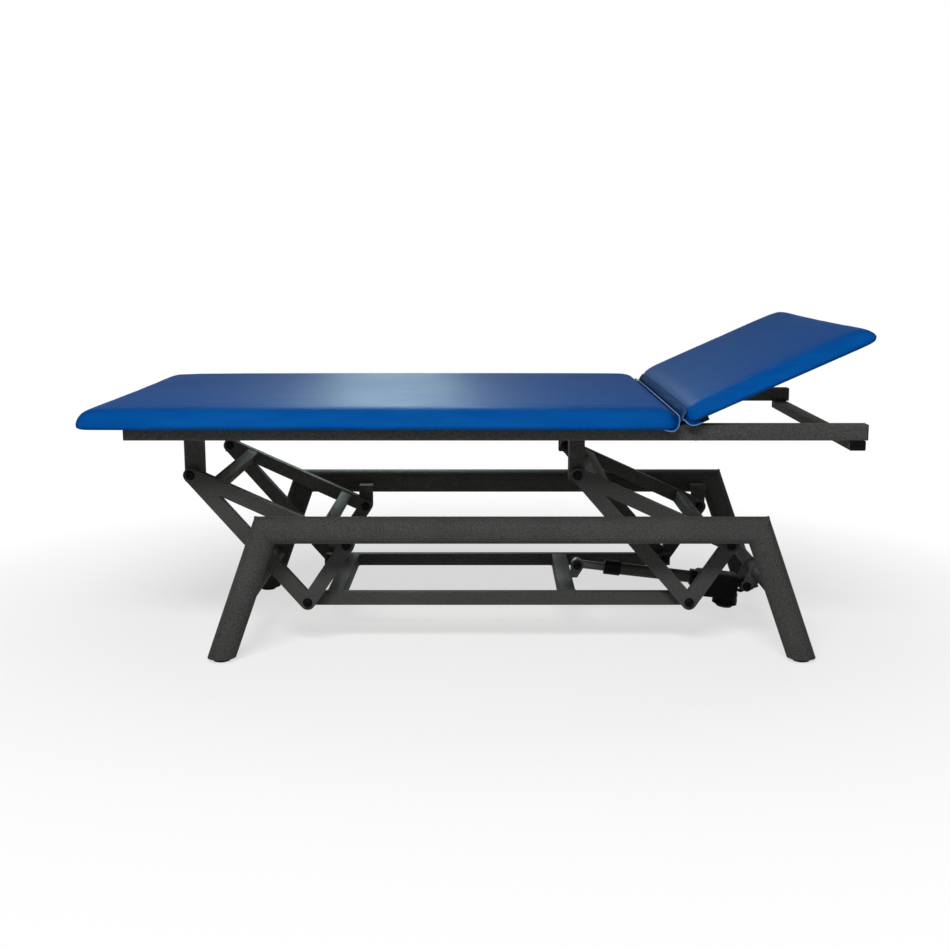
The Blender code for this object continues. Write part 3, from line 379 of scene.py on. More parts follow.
def make_vinyl():
    """Satin royal blue upholstery vinyl with a pressed leather grain and soft lengthwise creases."""
    material, tree, surface = shader("blue_vinyl")
    place = place_of(tree)
    cells = add(tree, "TexVoronoi", {"feature": "F1"}, {"Vector": place, "Scale": 620.0, "Randomness": 0.9})
    grain = cells.outputs["Distance"]
    streak = noise(tree, place_of(tree, CREASED), scale=6.0, detail=4.0, rough=0.6)
    patch = noise(tree, place, scale=3.0)
    deep = ramp(tree, streak, (0.30, (0.0006, 0.054, 0.236)), (0.72, (0.0012, 0.070, 0.282)))
    faded = ramp(tree, streak, (0.30, (0.002, 0.062, 0.255)), (0.72, (0.004, 0.082, 0.300)))
    colour = blend_colours(tree, span(tree, patch, 0.3, 0.7, 0.0, 0.7), deep, faded)
    tree.links.new(colour, surface.inputs["Base Color"])
    tree.links.new(span(tree, streak, 0.3, 0.7, 0.40, 0.50), surface.inputs["Roughness"])
    creases = bump(tree, streak, distance=0.0035, strength=0.30)
    leather = bump(tree, grain, distance=0.0006, strength=0.22, normal=creases)
    tree.links.new(leather, surface.inputs["Normal"])
    surface.inputs["Specular IOR Level"].default_value = VINYL_GLOSS
    return material


def make_plain(name, dark, light, rough, gloss, grain_scale, grain_depth, metal=0.0, stretch=EVEN):
    """A finish whose colour, roughness and bump vary together with a fine grain and a broad cloud."""
    material, tree, surface = shader(name)
    place = place_of(tree, stretch)
    grain = noise(tree, place, grain_scale, detail=4.0, rough=0.6)
    cloud = noise(tree, place_of(tree), scale=30.0, detail=3.0)
    half_grain = span(tree, grain, 0.0, 1.0, 0.0, 0.5)
    mixed = add(tree, "Math", {"operation": "MULTIPLY_ADD"}, {0: cloud, 1: 0.5, 2: half_grain})
    value = mixed.outputs["Value"]
    tree.links.new(ramp(tree, value, (0.35, dark), (0.65, light)), surface.inputs["Base Color"])
    tree.links.new(span(tree, value, 0.35, 0.65, rough[0], rough[1]), surface.inputs["Roughness"])
    rounded = edge_share(tree, radius=0.0012, soft=0.80)[0]
    tree.links.new(bump(tree, grain, grain_depth, strength=0.5, normal=rounded), surface.inputs["Normal"])
    surface.inputs["Metallic"].default_value = metal
    surface.inputs["Specular IOR Level"].default_value = gloss
    return material


def make_plywood(name, turn):
    """Birch plywood: long grain on the faces and thin plies along the edges."""
    material, tree, surface = shader(name)
    grain_place = place_of(tree, (2.0, 26.0, 26.0), turn)
    fibre = noise(tree, grain_place, scale=7.0, detail=6.0, rough=0.65)
    figure = add(tree, "TexWave", {"bands_direction": "Y"}, {
        "Vector": place_of(tree, (0.4, 4.0, 4.0), turn), "Scale": 3.0, "Distortion": 9.0, "Detail": 3.0,
    }).outputs["Fac"]
    wood = ramp(tree, fibre, (0.30, (0.42, 0.29, 0.16)), (0.70, (0.66, 0.50, 0.31)))
    figured = ramp(tree, figure, (0.2, (0.50, 0.36, 0.20)), (0.8, (0.62, 0.47, 0.29)))
    face = blend_colours(tree, 0.45, wood, figured)
    plies = add(tree, "TexWave", {"bands_direction": "Z"}, {
        "Vector": place_of(tree, EVEN, turn), "Scale": 105.0, "Distortion": 0.6, "Detail": 1.0,
    }).outputs["Fac"]
    edge = ramp(tree, plies, (0.35, (0.24, 0.15, 0.08)), (0.65, (0.60, 0.45, 0.27)))
    normal = add(tree, "NewGeometry").outputs["Normal"]
    upright = add(tree, "Mapping", {"vector_type": "NORMAL"}, {"Vector": normal, "Rotation": turn})
    height = add(tree, "SeparateXYZ", None, {"Vector": upright.outputs["Vector"]}).outputs["Z"]
    steep = add(tree, "Math", {"operation": "ABSOLUTE"}, {0: height}).outputs["Value"]
    colour = blend_colours(tree, span(tree, steep, 0.4, 0.8, 0.0, 1.0), edge, face)
    tree.links.new(colour, surface.inputs["Base Color"])
    tree.links.new(span(tree, fibre, 0.3, 0.7, 0.6, 0.45), surface.inputs["Roughness"])
    tree.links.new(bump(tree, fibre, distance=0.0006, strength=0.4), surface.inputs["Normal"])
    return material


powder_coat = make_powder_coat()
vinyl = make_vinyl()
black_steel = make_plain(
    "black_oxide_steel", BLACK, NEAR_BLACK,
    rough=(0.30, 0.44), gloss=0.05, grain_scale=700.0, grain_depth=0.0003,
)
black_plastic = make_plain(
    "black_plastic", BLACK, NEAR_BLACK,
    rough=(0.42, 0.56), gloss=0.04, grain_scale=1500.0, grain_depth=0.0003,
)
rubber = make_plain(
    "black_rubber", (0.006, 0.006, 0.006), (0.018, 0.018, 0.018),
    rough=(0.70, 0.85), gloss=0.10, grain_scale=900.0, grain_depth=0.0005,
)
rod_steel = make_plain(
    "ground_steel", (0.035, 0.035, 0.035), (0.070, 0.070, 0.070),
    rough=(0.34, 0.46), gloss=0.2, grain_scale=160.0, grain_depth=0.0001, metal=0.25, stretch=LENGTHWISE,
)
grey_tube = make_plain(
    "anodised_tube", (0.012, 0.013, 0.012), (0.028, 0.029, 0.027),
    rough=(0.34, 0.46), gloss=0.15, grain_scale=220.0, grain_depth=0.0002, metal=0.2, stretch=LENGTHWISE,
)
bright_steel = make_plain(
    "bright_steel", (0.42, 0.42, 0.43), (0.60, 0.60, 0.61),
    rough=(0.16, 0.28), gloss=0.5, grain_scale=260.0, grain_depth=0.0001, metal=1.0, stretch=LENGTHWISE,
)
# Painted highlight: the piping's lighter blue stands in for light caught along the bead
piping_with_painted_highlight = make_plain(
    "vinyl_piping_painted_highlight", (0.07, 0.15, 0.31), (0.13, 0.22, 0.40),
    rough=(0.34, 0.46), gloss=0.015, grain_scale=500.0, grain_depth=0.0003,
)
main_plywood = make_plywood("birch_plywood", (0.0, 0.0, 0.0))
head_plywood = make_plywood("birch_plywood_head", (0.0, HEAD_TILT, 0.0))

FINISHES = {
    "actuator_rod": rod_steel,
    "actuator_tube": grey_tube,
    "actuator_collar": black_plastic,
    "actuator_housing": black_plastic,
    "actuator_rear_eye": black_plastic,
    "gas_spring_cylinder": black_plastic,
    "gas_spring_rod": bright_steel,
    "main_board": main_plywood,
    "head_board": head_plywood,
}


# Round shading for the carried-over solids, whose facets otherwise show
def make_round_shading():
    """A node group that joins split corners and shades all but the sharp edges smooth."""
    tree = bpy.data.node_groups.new("round_shading", "GeometryNodeTree")
    tree.interface.new_socket("Geometry", in_out="INPUT", socket_type="NodeSocketGeometry")
    tree.interface.new_socket("Geometry", in_out="OUTPUT", socket_type="NodeSocketGeometry")
    start, end = tree.nodes.new("NodeGroupInput"), tree.nodes.new("NodeGroupOutput")
    join = tree.nodes.new("GeometryNodeMergeByDistance")
    join.inputs["Distance"].default_value = JOIN_DISTANCE
    faces, edges = (tree.nodes.new("GeometryNodeSetShadeSmooth") for _ in range(2))
    faces.domain, edges.domain = "FACE", "EDGE"
    faces.inputs["Shade Smooth"].default_value = True
    angle = tree.nodes.new("GeometryNodeInputMeshEdgeAngle")
    gentle = tree.nodes.new("FunctionNodeCompare")
    gentle.operation = "LESS_THAN"
    gentle.inputs["B"].default_value = SOLID_SHARP
    tree.links.new(angle.outputs["Unsigned Angle"], gentle.inputs["A"])
    tree.links.new(gentle.outputs["Result"], edges.inputs["Shade Smooth"])
    chain = [start, join, faces, edges, end]
    for first, second in zip(chain, chain[1:]):
        tree.links.new(first.outputs["Geometry"], second.inputs["Geometry"])
    return tree


round_shading = make_round_shading()
for name, node in nodes.items():
    finish = FINISHES.get(name, powder_coat)
    node.data.materials.clear()
    node.data.materials.append(finish)
    if "custom_normal" in node.data.attributes:
        node.data.attributes.remove(node.data.attributes["custom_normal"])
    node.modifiers.new("round_shading", "NODES").node_group = round_shading


# Mesh helpers
def add_piece(name, mesh, material, body, slot, *stands_for):
    """A piece that rides on a body, takes a finish and may stand for CAD nodes. Its slot is not used."""
    piece = bpy.data.objects.new(name, mesh)
    bpy.context.scene.collection.objects.link(piece)
    mesh.materials.append(material)
    if body:
        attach(piece, body)
    if stands_for:
        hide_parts(*stands_for)
    return piece


def to_mesh(bm, name, sharp=PIECE_SHARP):
    """A mesh with outward normals that is smooth but for its sharp edges."""
    bmesh.ops.recalc_face_normals(bm, faces=bm.faces)
    mesh = bpy.data.meshes.new(name)
    bm.to_mesh(mesh)
    bm.free()
    mesh.shade_smooth()
    mesh.set_sharp_from_angle(angle=sharp)
    return mesh


def loft(rings, closed=False):
    """A skin over rings of points with the same count. Its ends are filled, or joined where it is closed."""
    bm = bmesh.new()
    loops = [[bm.verts.new(point) for point in ring] for ring in rings]
    pairs = list(zip(loops, loops[1:]))
    if closed:
        pairs.append((loops[-1], loops[0]))
    for first, second in pairs:
        for i in range(len(first)):
            j = (i + 1) % len(first)
            bm.faces.new((first[i], first[j], second[j], second[i]))
    if not closed:
        bm.faces.new(loops[0])
        bm.faces.new(loops[-1])
    return bm


def hexagon_radius(flat, angle):
    """The reach of a hexagon with that half width across flats, in a direction."""
    sixth = math.pi / 3
    return flat / math.cos((angle + sixth / 2) % sixth - sixth / 2)


def turned_rings(profile, sides):
    """Rings about Z from rows of height, radius and whether the ring is a hexagon."""
    rings = []
    for height, radius, hexagonal in profile:
        ring = []
        for i in range(sides):
            angle = math.tau * i / sides
            reach = hexagon_radius(radius, angle) if hexagonal else radius
            ring.append(Vector((reach * math.cos(angle), reach * math.sin(angle), height)))
        rings.append(ring)
    return rings


def placed(rings, matrix):
    return [[matrix @ point for point in ring] for ring in rings]


# Pivot bolts: domed socket heads, washers and lock nuts
def head_profile():
    """Rows from the socket's floor over the domed head."""
    rows = [(depth - HEAD_T, radius, hexagonal) for depth, radius, hexagonal in SOCKET_STEPS]
    for turn in map(math.radians, DOME_DEGREES):
        radius = DOME_R + (HEAD_R - DOME_R) * math.sin(turn)
        rows.append((-HEAD_T + DOME_RISE * (1 - math.cos(turn)), radius, False))
    return rows


def bolt_profile(length, shank):
    """Rows from the head, along the shank to the nut's end."""
    outline = [
        (-2 * HEAD_CHAMFER, HEAD_R), (-WASHER_T, HEAD_R - HEAD_CHAMFER), (-WASHER_T, WASHER_R),
        (0.0, WASHER_R), (0.0, shank), (length, shank), (length, WASHER_R), (length + WASHER_T, WASHER_R),
    ]
    rows = [(height, radius, False) for height, radius in outline]
    rows += [(length + rise, NUT_R + over, hexagonal) for rise, over, hexagonal in NUT_STEPS]
    rows += [(length + rise, shank + over, False) for rise, over in THREAD_STEPS]
    return head_profile() + rows


def add_bolts():
    """Each bolt lies where its solid does, with its head on the same side."""
    for name in [n for n in nodes if "_bolt" in n or n == "rod_pin"]:
        low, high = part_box(name)
        centre = (low + high) / 2
        shank = PIN_R if name in THIN_PINS else SHANK_R
        length = high.y - low.y - HEAD_T - NUT_T
        head_at_back = name.endswith("back") and not name.startswith("top")
        direction = -1 if head_at_back else 1
        start = high.y - HEAD_T if head_at_back else low.y + HEAD_T
        turn = Matrix.Rotation(-direction * math.pi / 2, 4, "X")
        place = Matrix.Translation((centre.x, start, centre.z)) @ turn
        bm = loft(placed(turned_rings(bolt_profile(length, shank), BOLT_SIDES), place))
        add_piece(f"{name}_detail", to_mesh(bm, name), black_steel, body_of[name], "black_steel", name)


# Foot pads with a grooved rim and a ringed sole
def add_feet():
    for name in [n for n in nodes if n.startswith("foot_pad")]:
        low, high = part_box(name)
        radius, height = (high.x - low.x) / 2, high.z - low.z
        profile = [(height, PAD_TOP_R, False)]
        profile += [(height * rise, radius * reach, False) for rise, reach in PAD_PROFILE]
        for share in SOLE_RINGS:
            profile += [(depth, radius * (share - inward), False) for depth, inward in SOLE_GROOVE]
        profile.append((0.0, SOLE_R, False))
        place = Matrix.Translation(((low.x + high.x) / 2, (low.y + high.y) / 2, low.z))
        bm = loft(placed(turned_rings(profile, BOLT_SIDES), place))
        add_piece(f"{name}_detail", to_mesh(bm, name), rubber, "base", "rubber", name)


# Tube caps: a rounded plate with a shallow dish and a chamfered rim
def rounded_ring(half_u, half_v, corner, per_corner=6):
    ring = []
    for quarter, (u, v) in enumerate(((1, 1), (-1, 1), (-1, -1), (1, -1))):
        for step in range(per_corner + 1):
            angle = math.pi / 2 * (quarter + step / per_corner)
            ring.append((
                u * (half_u - corner) + corner * math.cos(angle),
                v * (half_v - corner) + corner * math.sin(angle),
            ))
    return ring


def add_caps():
    for name in [n for n in nodes if "_cap_" in n]:
        low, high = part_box(name)
        size, centre = high - low, (low + high) / 2
        axis = 0 if name.startswith("rail") else 1
        outward = math.copysign(1.0, centre[axis] - (BASE_X if axis == 0 else 0.0))
        half = size[axis] / 2
        rings = []
        for rise, inset, corner in CAP_STEPS:
            half_u, half_v = size[1 - axis] / 2 - inset, size[2] / 2 - inset
            ring = []
            for u, v in rounded_ring(half_u, half_v, corner):
                point = Vector((0.0, 0.0, v))
                point[axis], point[1 - axis] = outward * half * rise, u
                ring.append(centre + point)
            rings.append(ring)
        add_piece(f"{name}_detail", to_mesh(loft(rings), name), black_plastic, "top", "black_plastic", name)


# Paths, and weld beads along them
def cut_corners(path, rounds=3):
    """A smoother path with the same ends."""
    for _ in range(rounds):
        inner = []
        for first, second in zip(path, path[1:]):
            inner += [first.lerp(second, 0.25), first.lerp(second, 0.75)]
        path = [path[0], *inner, path[-1]]
    return path


def resample(points, step, closed):
    """Points at even distances along a path."""
    path = [Vector(p) for p in points]
    if closed:
        path.append(path[0])
    lengths = [0.0]
    for first, second in zip(path, path[1:]):
        lengths.append(lengths[-1] + (second - first).length)
    count = max(FEWEST_STEPS, round(lengths[-1] / step))
    stations = np.linspace(0.0, lengths[-1], count + (0 if closed else 1), endpoint=not closed)
    table = np.array(path)
    return [Vector([np.interp(s, lengths, table[:, axis]) for axis in range(3)]) for s in stations]


def sweep(path, radii, closed):
    """Rings round a path, one for each of its points."""
    rings = []
    side = None
    for i, (point, radius) in enumerate(zip(path, radii)):
        before = path[i - 1] if closed or i else path[0]
        after = path[(i + 1) % len(path)] if closed or i + 1 < len(path) else path[-1]
        along = (after - before).normalized()
        if side and not closed:
            side = (side - along * side.dot(along)).normalized()
        elif abs(along.y) > CROSSWISE:
            side = along.orthogonal().normalized()
        else:
            side = along.cross((0, 1, 0)).normalized()
        up = along.cross(side)
        turns = np.linspace(0, math.tau, SWEEP_SIDES, endpoint=False)
        rings.append([point + radius * (side * math.cos(a) + up * math.sin(a)) for a in turns])
    return rings


def add_weld(name, points, body, closed=True, radius=WELD_R):
    """A rippled bead along a path, as a welder's overlapping pools leave it."""
    path = resample(points, WELD_STEP, closed)
    waves = [sum(height * math.sin(i * rate) for height, rate in WELD_WAVES) for i in range(len(path))]
    bm = loft(sweep(path, [radius + WELD_RIPPLE * wave for wave in waves], closed), closed)
    add_piece(name, to_mesh(bm, name, WIRE_SHARP), powder_coat, body, "powder_coat")


def tilted_square(centre, half_u, half_v, angle):
    """A rectangle in the X-Z plane, turned downwards along +X by an angle."""
    along = Vector((math.cos(angle), 0.0, -math.sin(angle)))
    up = Vector((math.sin(angle), 0.0, math.cos(angle)))
    corners = rounded_ring(half_u, half_v, ARM_TUBE_CORNER, per_corner=3)
    return [centre + along * u + up * v for u, v in corners]


def leg_point(sign, side, height):
    """A point on a leg's axis at a height."""
    reach = KNEE_X + (BASE_Z - height) * math.tan(LEG_SPLAY)
    return Vector((sign * reach + BASE_X, side * BASE_Y, height))


def add_frame_welds():
    """Beads where cross tubes meet the arms, the legs and the tie bars, and round the knees of the base."""
    turns = [math.tau * i / LOOP_STEPS for i in range(LOOP_STEPS)]
    for end_name, sign in ENDS.items():
        for label in ("upper", "lower"):
            node = f"arm_{end_name}_{label}_tube"
            low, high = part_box(node)
            for side_name, y in (("front", low.y), ("back", high.y)):
                centre = Vector(((low.x + high.x) / 2, y, (low.z + high.z) / 2))
                loop = tilted_square(centre, ARM_TUBE / 2, ARM_TUBE / 2, ARM_ANGLE)
                add_weld(f"weld_{node}_{side_name}", loop, f"arm_{end_name}")
        for side_name, side in SIDES.items():
            knee = [
                Vector((
                    sign * (KNEE_X + TUBE_R * math.sin(t) * math.tan(math.pi / 4 - LEG_SPLAY / 2)) + BASE_X,
                    side * BASE_Y + TUBE_R * math.cos(t), BASE_Z + TUBE_R * math.sin(t),
                )) for t in turns
            ]
            add_weld(f"weld_knee_{end_name}_{side_name}", knee, "base", True, KNEE_WELD_R)
            height = LEG_TIE_Z[end_name]
            centre = leg_point(sign, side, height)
            saddle = []
            for t in turns:
                offset = Vector((LEG_TIE_R * math.cos(t), LEG_TIE_R * math.sin(t)))
                across = offset.x * math.cos(LEG_SPLAY) + sign * offset.y * math.sin(LEG_SPLAY)
                depth = math.sqrt(TUBE_R ** 2 - across ** 2)
                saddle.append(Vector((centre.x + offset.x, side * (BASE_Y - depth), height + offset.y)))
            add_weld(f"weld_leg_tie_{end_name}_{side_name}", saddle, "base")
        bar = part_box("push_tube_foot")
        for side_name, side in SIDES.items():
            for edge_name, edge in (("left", -1), ("right", 1)):
                x = PUSH_TUBE_X[end_name] + edge * PUSH_TUBE_W / 2
                ends = [Vector((x, side * bar[1].y, corner.z)) for corner in bar]
                add_weld(f"weld_push_{end_name}_{side_name}_{edge_name}", ends, "push_frame", False)


# Actuator details
def along_actuator(pin, along, y, up):
    """A point measured along and above the actuator's axis from the rod pin."""
    cos, sin = math.cos(ACTUATOR_TILT), math.sin(ACTUATOR_TILT)
    return Vector((pin.x + along * cos + up * sin, y, pin.z - along * sin + up * cos))


def add_actuator_details():
    """Cooling ribs on the motor, a parting rim round the gearbox, screws and a gland nut on the tube."""
    low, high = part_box("rod_pin")
    pin = (low + high) / 2
    axes = Matrix.Rotation(ACTUATOR_TILT, 4, "Y")
    end = ACTUATOR_LENGTH - REAR_REACH
    start = end - GEARBOX_L
    motor = end - MOTOR_INSET
    at_motor = Matrix.Translation(along_actuator(pin, motor, 0.0, 0.0)) @ axes
    for i in range(RIB_COUNT):
        height = RIB_HEIGHT - RIB_PITCH * i
        profile = [(height + rise, radius, False) for rise, radius in RIB_STEPS]
        bm = loft(placed(turned_rings(profile, BOLT_SIDES), at_motor))
        add_piece(f"motor_rib_{i}", to_mesh(bm, "motor_rib"), black_plastic, "actuator_body", "black_plastic")
    rim = rounded_ring(GEARBOX_L / 2 + RIM_OVERHANG, RIM_HALF_W, RIM_CORNER)
    middle = (start + end) / 2
    rings = []
    for rise, inset in RIM_STEPS:
        shrink = 1 - inset / RIM_SCALE
        up = rise + RIM_HEIGHT
        rings.append([along_actuator(pin, middle + u * shrink, v * shrink, up) for u, v in rim])
    mesh = to_mesh(loft(rings), "gearbox_rim")
    add_piece("gearbox_rim", mesh, black_plastic, "actuator_body", "black_plastic")
    screw = []
    for height, radius, hexagonal in head_profile():
        screw.append((height * SCREW_SCALE_T, radius * SCREW_SCALE_R, hexagonal))
    screw.append((SCREW_DEPTH, HEAD_R * SCREW_SCALE_R, False))
    spots = [(x, up) for x in (start + SCREW_INSET, end - SCREW_INSET) for up in SCREW_HEIGHTS]
    for i, (along, up) in enumerate(spots):
        for side_name, side in SIDES.items():
            face = along_actuator(pin, along, side * GEARBOX_HALF_W, up)
            place = Matrix.Translation(face) @ Matrix.Rotation(side * math.pi / 2, 4, "X")
            bm = loft(placed(turned_rings(screw, BOLT_SIDES), place))
            name = f"gearbox_screw_{side_name}_{i}"
            add_piece(name, to_mesh(bm, name), black_steel, "actuator_body", "black_steel")
    gland = [(start + along, radius, hexagonal) for along, radius, hexagonal in GLAND_STEPS]
    lengthwise = Matrix.Translation(pin) @ axes @ Matrix.Rotation(math.pi / 2, 4, "Y")
    bm = loft(placed(turned_rings(gland, BOLT_SIDES), lengthwise), True)
    add_piece("gland_nut", to_mesh(bm, "gland_nut"), black_plastic, "actuator_body", "black_plastic")


# Upholstery by cloth simulation
def joined_copy(node):
    """The node's mesh with its split corners joined."""
    bm = bmesh.new()
    bm.from_mesh(nodes[node].data)
    bmesh.ops.remove_doubles(bm, verts=bm.verts, dist=JOIN_DISTANCE)
    mesh = bpy.data.meshes.new(node)
    bm.to_mesh(mesh)
    bm.free()
    return mesh


def baked(piece):
    """The piece's mesh with its modifiers applied."""
    bpy.context.view_layer.update()
    graph = bpy.context.evaluated_depsgraph_get()
    return bpy.data.meshes.new_from_object(piece.evaluated_get(graph))


def coordinates(mesh):
    table = np.empty(len(mesh.vertices) * 3)
    mesh.vertices.foreach_get("co", table)
    return table.reshape(-1, 3)


def set_coordinates(mesh, table):
    mesh.vertices.foreach_set("co", table.ravel())
    mesh.update()


def swell(piece):
    """Lets the cover swell like a stuffed skin, and gives where its points went."""
    cloth = piece.modifiers.new("cloth", "CLOTH")
    settings = cloth.settings
    settings.quality = CLOTH_QUALITY
    settings.mass = COVER_MASS
    settings.tension_stiffness = settings.compression_stiffness = COVER_STIFFNESS
    settings.bending_stiffness = COVER_BENDING
    settings.use_pressure = True
    settings.uniform_pressure_force = SWELL_PRESSURE
    settings.effector_weights.gravity = 0.0
    scene = bpy.context.scene
    for number in range(1, SWELL_FRAMES + 1):
        scene.frame_set(number)
    swollen = coordinates(baked(piece))
    piece.modifiers.remove(cloth)
    scene.frame_set(1)
    return swollen


def add_cushion(node, body, turn):
    """A remeshed and swollen copy of a cushion's solid, held where it meets its board and the hinge."""
    level = joined_copy(node)
    level.transform(turn.inverted())
    piece = bpy.data.objects.new(f"{node}_cover", level)
    bpy.context.scene.collection.objects.link(piece)
    remesh = piece.modifiers.new("remesh", "REMESH")
    remesh.mode = "VOXEL"
    remesh.voxel_size = VOXEL
    remesh.use_smooth_shade = True
    smooth = piece.modifiers.new("smooth", "SMOOTH")
    smooth.iterations = SMOOTH_ROUNDS
    mesh = baked(piece)
    piece.modifiers.clear()
    piece.data = mesh
    start = coordinates(mesh)
    normals = np.array([vertex.normal for vertex in mesh.vertices])
    lift = np.clip((start[:, 2] - start[:, 2].min() - FLAT_BELOW) / RISE_FADE, 0.0, 1.0)
    hinge_reach = np.clip((np.abs(start[:, 0] - HINGE.x) - HINGE_CLEAR) / HINGE_FADE, 0.0, 1.0)
    free = (lift * hinge_reach)[:, None]
    set_coordinates(mesh, start - normals * free * SWELL_START)
    moved = swell(piece) - coordinates(mesh)
    reach = np.linalg.norm(moved, axis=1, keepdims=True)
    moved *= np.minimum(1.0, SWELL_CAP / np.maximum(reach, TINY))
    set_coordinates(mesh, coordinates(mesh) + moved * free)
    finer = piece.modifiers.new("finer", "SUBSURF")
    finer.levels = finer.render_levels = 1
    mesh = baked(piece)
    piece.modifiers.clear()
    piece.data = mesh
    mesh.transform(turn)
    mesh.materials.clear()
    mesh.materials.append(vinyl)
    mesh.shade_smooth()
    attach(piece, body)
    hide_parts(node)


def level_box(node, turn):
    """The corners of a node's box with its tilt taken out."""
    table = np.array([turn.inverted() @ Vector(point) for point in coordinates(joined_copy(node))])
    return table.min(axis=0), table.max(axis=0)


def add_staples(cushion, board, body, turn, hinge_side):
    """Wire staples in the cover's hem, three quarters of the way in to the board, but not at the hinge."""
    low, high = level_box(cushion, turn)
    board_low, board_high = level_box(board, turn)
    near, far = (low + 3 * board_low) / 4, (high + 3 * board_high) / 4
    corners = [(near[0], near[1]), (far[0], near[1]), (far[0], far[1]), (near[0], far[1])]
    bm = bmesh.new()
    for first, second in zip(corners, corners[1:] + corners[:1]):
        if first[0] == second[0] and (first[0] == far[0]) == (hinge_side > 0):
            continue
        start, end = Vector((*first, low[2])), Vector((*second, low[2]))
        along = (end - start).normalized()
        for step in range(1, int((end - start).length / STAPLE_PITCH)):
            centre = start + along * STAPLE_PITCH * step
            legs = [centre + along * u + Vector((0.0, 0.0, v)) for u, v in STAPLE_SHAPE]
            path = cut_corners(legs, 2)
            wire = loft(sweep(path, [STAPLE_R] * len(path), False))
            mesh = bpy.data.meshes.new("staple")
            wire.to_mesh(mesh)
            wire.free()
            bm.from_mesh(mesh)
    mesh = to_mesh(bm, f"{cushion}_staples", WIRE_SHARP)
    mesh.transform(turn)
    add_piece(f"{cushion}_staples", mesh, rod_steel, body, "bright_steel")


def add_strip(name, grid, thickness, body):
    """A thin sheet of vinyl through rows of points."""
    bm = bmesh.new()
    lines = [[bm.verts.new(point) for point in row] for row in grid]
    for first, second in zip(lines, lines[1:]):
        for i in range(len(first) - 1):
            bm.faces.new((first[i], first[i + 1], second[i + 1], second[i]))
    bmesh.ops.solidify(bm, geom=bm.faces[:], thickness=thickness)
    piece = add_piece(name, to_mesh(bm, name, SHEET_SHARP), vinyl, body, "vinyl")
    return piece


def add_web():
    """The vinyl that bridges the two cushions over the hinge, shaped to the head part's tilt."""
    grid = []
    for number, y in enumerate(np.linspace(-WEB_HALF, WEB_HALF, WEB_ROWS)):
        ripple = sum(height * math.sin(number * rate) for height, rate in WEB_RIPPLES)
        ripple -= WEB_DROP * max(0.0, (abs(y) - WEB_HALF + WEB_TAPER) / WEB_TAPER) ** 2
        row = []
        for x, z in WEB_SECTION:
            share = min(1.0, max(0.0, (x + WEB_BLEND) / (2 * WEB_BLEND)))
            turn = Matrix.Rotation(-HEAD_TILT * share * share * (3 - 2 * share), 4, "Y")
            row.append(HINGE + Vector((0.0, y, 0.0)) + turn @ Vector((x, 0.0, z + ripple)))
        grid.append(row)
    piece = add_strip("hinge_web", grid, WEB_T, None)
    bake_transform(piece)


def add_piping(name, path, body):
    """A welted edge along a path, in a lighter blue that is a painted highlight."""
    even = resample(cut_corners(path), PIPING_STEP, False)
    bm = loft(sweep(even, [PIPING_R] * len(even), False))
    add_piece(name, to_mesh(bm, name, WIRE_SHARP), piping_with_painted_highlight, body, "vinyl")


def add_hinge_trim():
    """Piping along the main cushion's end and round both cushions' lower corners, over folded vinyl."""
    runs = {}
    for side_name, side in SIDES.items():
        for body, places in (("top", MAIN_PIPING), ("head", HEAD_PIPING)):
            path = [Vector((x, side * PIPING_Y, z)) for x, z in places]
            runs[body, side_name] = path
            even = resample(cut_corners(path), FOLD_STEP, False)
            x, z = FOLD_CENTRES[body]
            centre = Vector((x, side * (PIPING_Y - FOLD_DEPTH), z))
            grid = [[point.lerp(centre, share) for share in FOLD_SHARES] for point in even]
            add_strip(f"{body}_fold_{side_name}", grid, FOLD_T, body)
    for side_name in SIDES:
        add_piping(f"head_piping_{side_name}", runs["head", side_name], "head")
    bend = (PIPING_CREST[0], PIPING_CREST[1] - CREST_DROP)
    steps = ((-WEB_HALF, bend), (-CREST_HALF, PIPING_CREST), (CREST_HALF, PIPING_CREST), (WEB_HALF, bend))
    crest = [Vector((x, y, z)) for y, (x, z) in steps]
    add_piping("main_piping", runs["top", "front"][::-1] + crest + runs["top", "back"], "top")


# Camera, light and floor
def add_camera():
    camera = bpy.data.objects.new("camera", bpy.data.cameras.new("camera"))
    bpy.context.scene.collection.objects.link(camera)
    camera.location = CAMERA_PLACE
    camera.rotation_euler = (math.pi / 2 - CAMERA_PITCH, 0.0, 0.0)
    camera.data.sensor_width = CAMERA_SENSOR
    camera.data.lens = CAMERA_LENS
    camera.data.shift_x = CAMERA_SHIFT
    bpy.context.scene.camera = camera


def add_softbox(name, place, target, size, energy, only_gloss):
    """A rectangular lamp. One that is only seen in gloss adds no light to matt surfaces."""
    light = bpy.data.lights.new(name, "AREA")
    light.shape = "RECTANGLE"
    light.size, light.size_y = size
    light.energy = energy
    if only_gloss:
        light.color = GLOSS_TINT
    lamp = bpy.data.objects.new(name, light)
    bpy.context.scene.collection.objects.link(lamp)
    lamp.location = place
    lamp.visible_camera = False
    lamp.visible_diffuse = not only_gloss
    lamp.rotation_euler = (Vector(target) - Vector(place)).to_track_quat("-Z", "Y").to_euler()


def seen_ray(tree):
    """1 for rays from the camera, from gloss and through glass, which show the white background."""
    path = add(tree, "LightPath")
    glossy = add(tree, "Math", {"operation": "MAXIMUM"}, {
        0: path.outputs["Is Camera Ray"], 1: path.outputs["Is Glossy Ray"],
    }).outputs["Value"]
    return add(tree, "Math", {"operation": "MAXIMUM"}, {
        0: glossy, 1: path.outputs["Is Transmission Ray"],
    }).outputs["Value"]


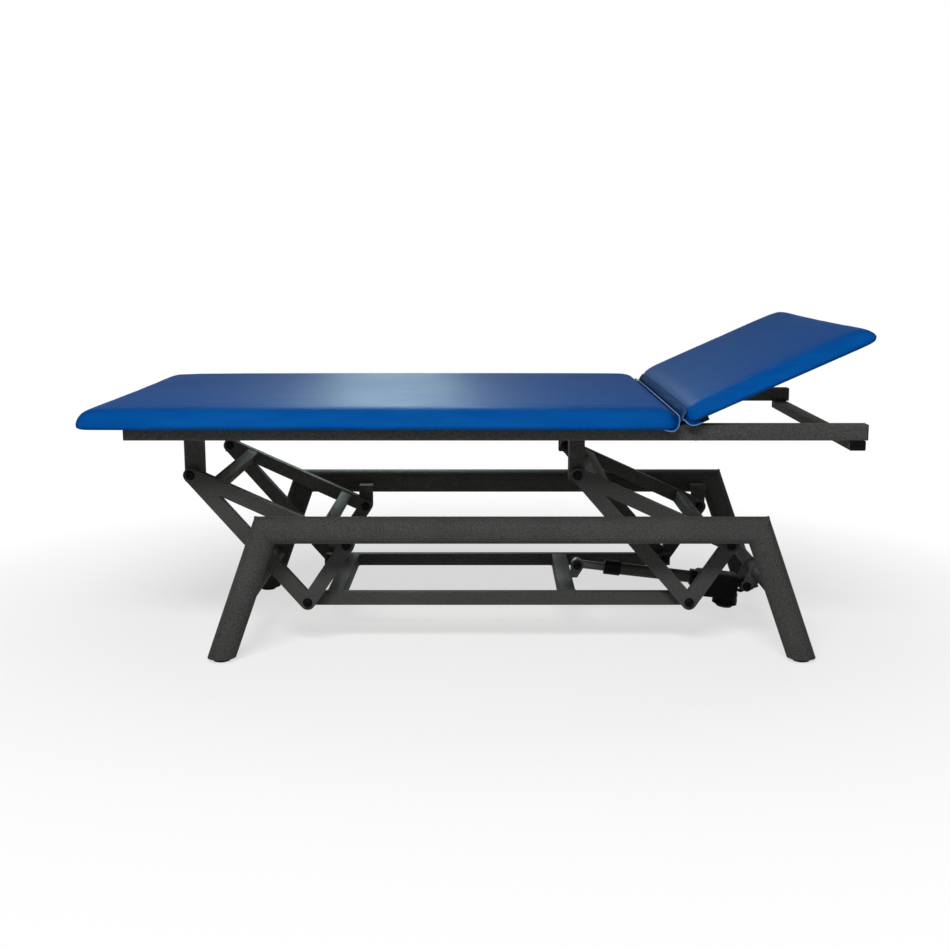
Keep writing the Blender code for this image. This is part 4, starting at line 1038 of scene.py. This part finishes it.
def add_world():
    """A white background that lights matt surfaces only a little."""
    world = bpy.data.worlds.new("studio")
    bpy.context.scene.world = world
    world.use_nodes = True
    tree = world.node_tree
    background = tree.nodes["Background"]
    tree.links.new(span(tree, seen_ray(tree), 0.0, 1.0, AMBIENT, 1.0), background.inputs["Strength"])
    background.inputs["Color"].default_value = WHITE


def add_floor():
    """A pale floor that keeps the shadow near the table and turns to plain white further away."""
    bm = bmesh.new()
    bmesh.ops.create_grid(bm, x_segments=FLOOR_CELLS, y_segments=FLOOR_CELLS, size=FLOOR_HALF)
    floor = bpy.data.objects.new("floor", to_mesh(bm, "floor"))
    bpy.context.scene.collection.objects.link(floor)
    floor.location.z = -FLOOR_DROP
    material, tree, surface = shader("studio_floor")
    speckle = noise(tree, place_of(tree), scale=40.0)
    tone = ramp(tree, speckle, *zip((0.0, 1.0), FLOOR_TONES))
    tree.links.new(tone, surface.inputs["Base Color"])
    surface.inputs["Roughness"].default_value = FLOOR_ROUGH
    surface.inputs["Specular IOR Level"].default_value = 0.0
    distance = add(tree, "VectorMath", {"operation": "LENGTH"}, {0: place_of(tree)}).outputs["Value"]
    away = span(tree, distance, *FLOOR_FADE, FLOOR_WHITE, 1.0)
    share = add(tree, "Math", {"operation": "MULTIPLY"}, {0: away, 1: seen_ray(tree)}).outputs["Value"]
    white = add(tree, "Emission", None, {"Color": WHITE, "Strength": 1.0}).outputs["Emission"]
    mixed = add(tree, "MixShader", None, {0: share, 1: surface.outputs["BSDF"], 2: white}).outputs["Shader"]
    tree.links.new(mixed, tree.nodes["Material Output"].inputs["Surface"])
    floor.data.materials.append(material)


add_camera()
add_world()
add_floor()
for lamp_name, lamp in LAMPS.items():
    add_softbox(lamp_name, *lamp)

add_bolts()
add_feet()
add_caps()
add_frame_welds()
add_actuator_details()
add_cushion("main_cushion", "top", Matrix.Identity(4))
add_cushion("head_cushion", "head", HEAD_TURN)
add_staples("main_cushion", "main_board", "top", Matrix.Identity(4), 1)
add_staples("head_cushion", "head_board", "head", HEAD_TURN, -1)
add_web()
add_hinge_trim()

bpy.context.scene.view_settings.view_transform = "Standard"
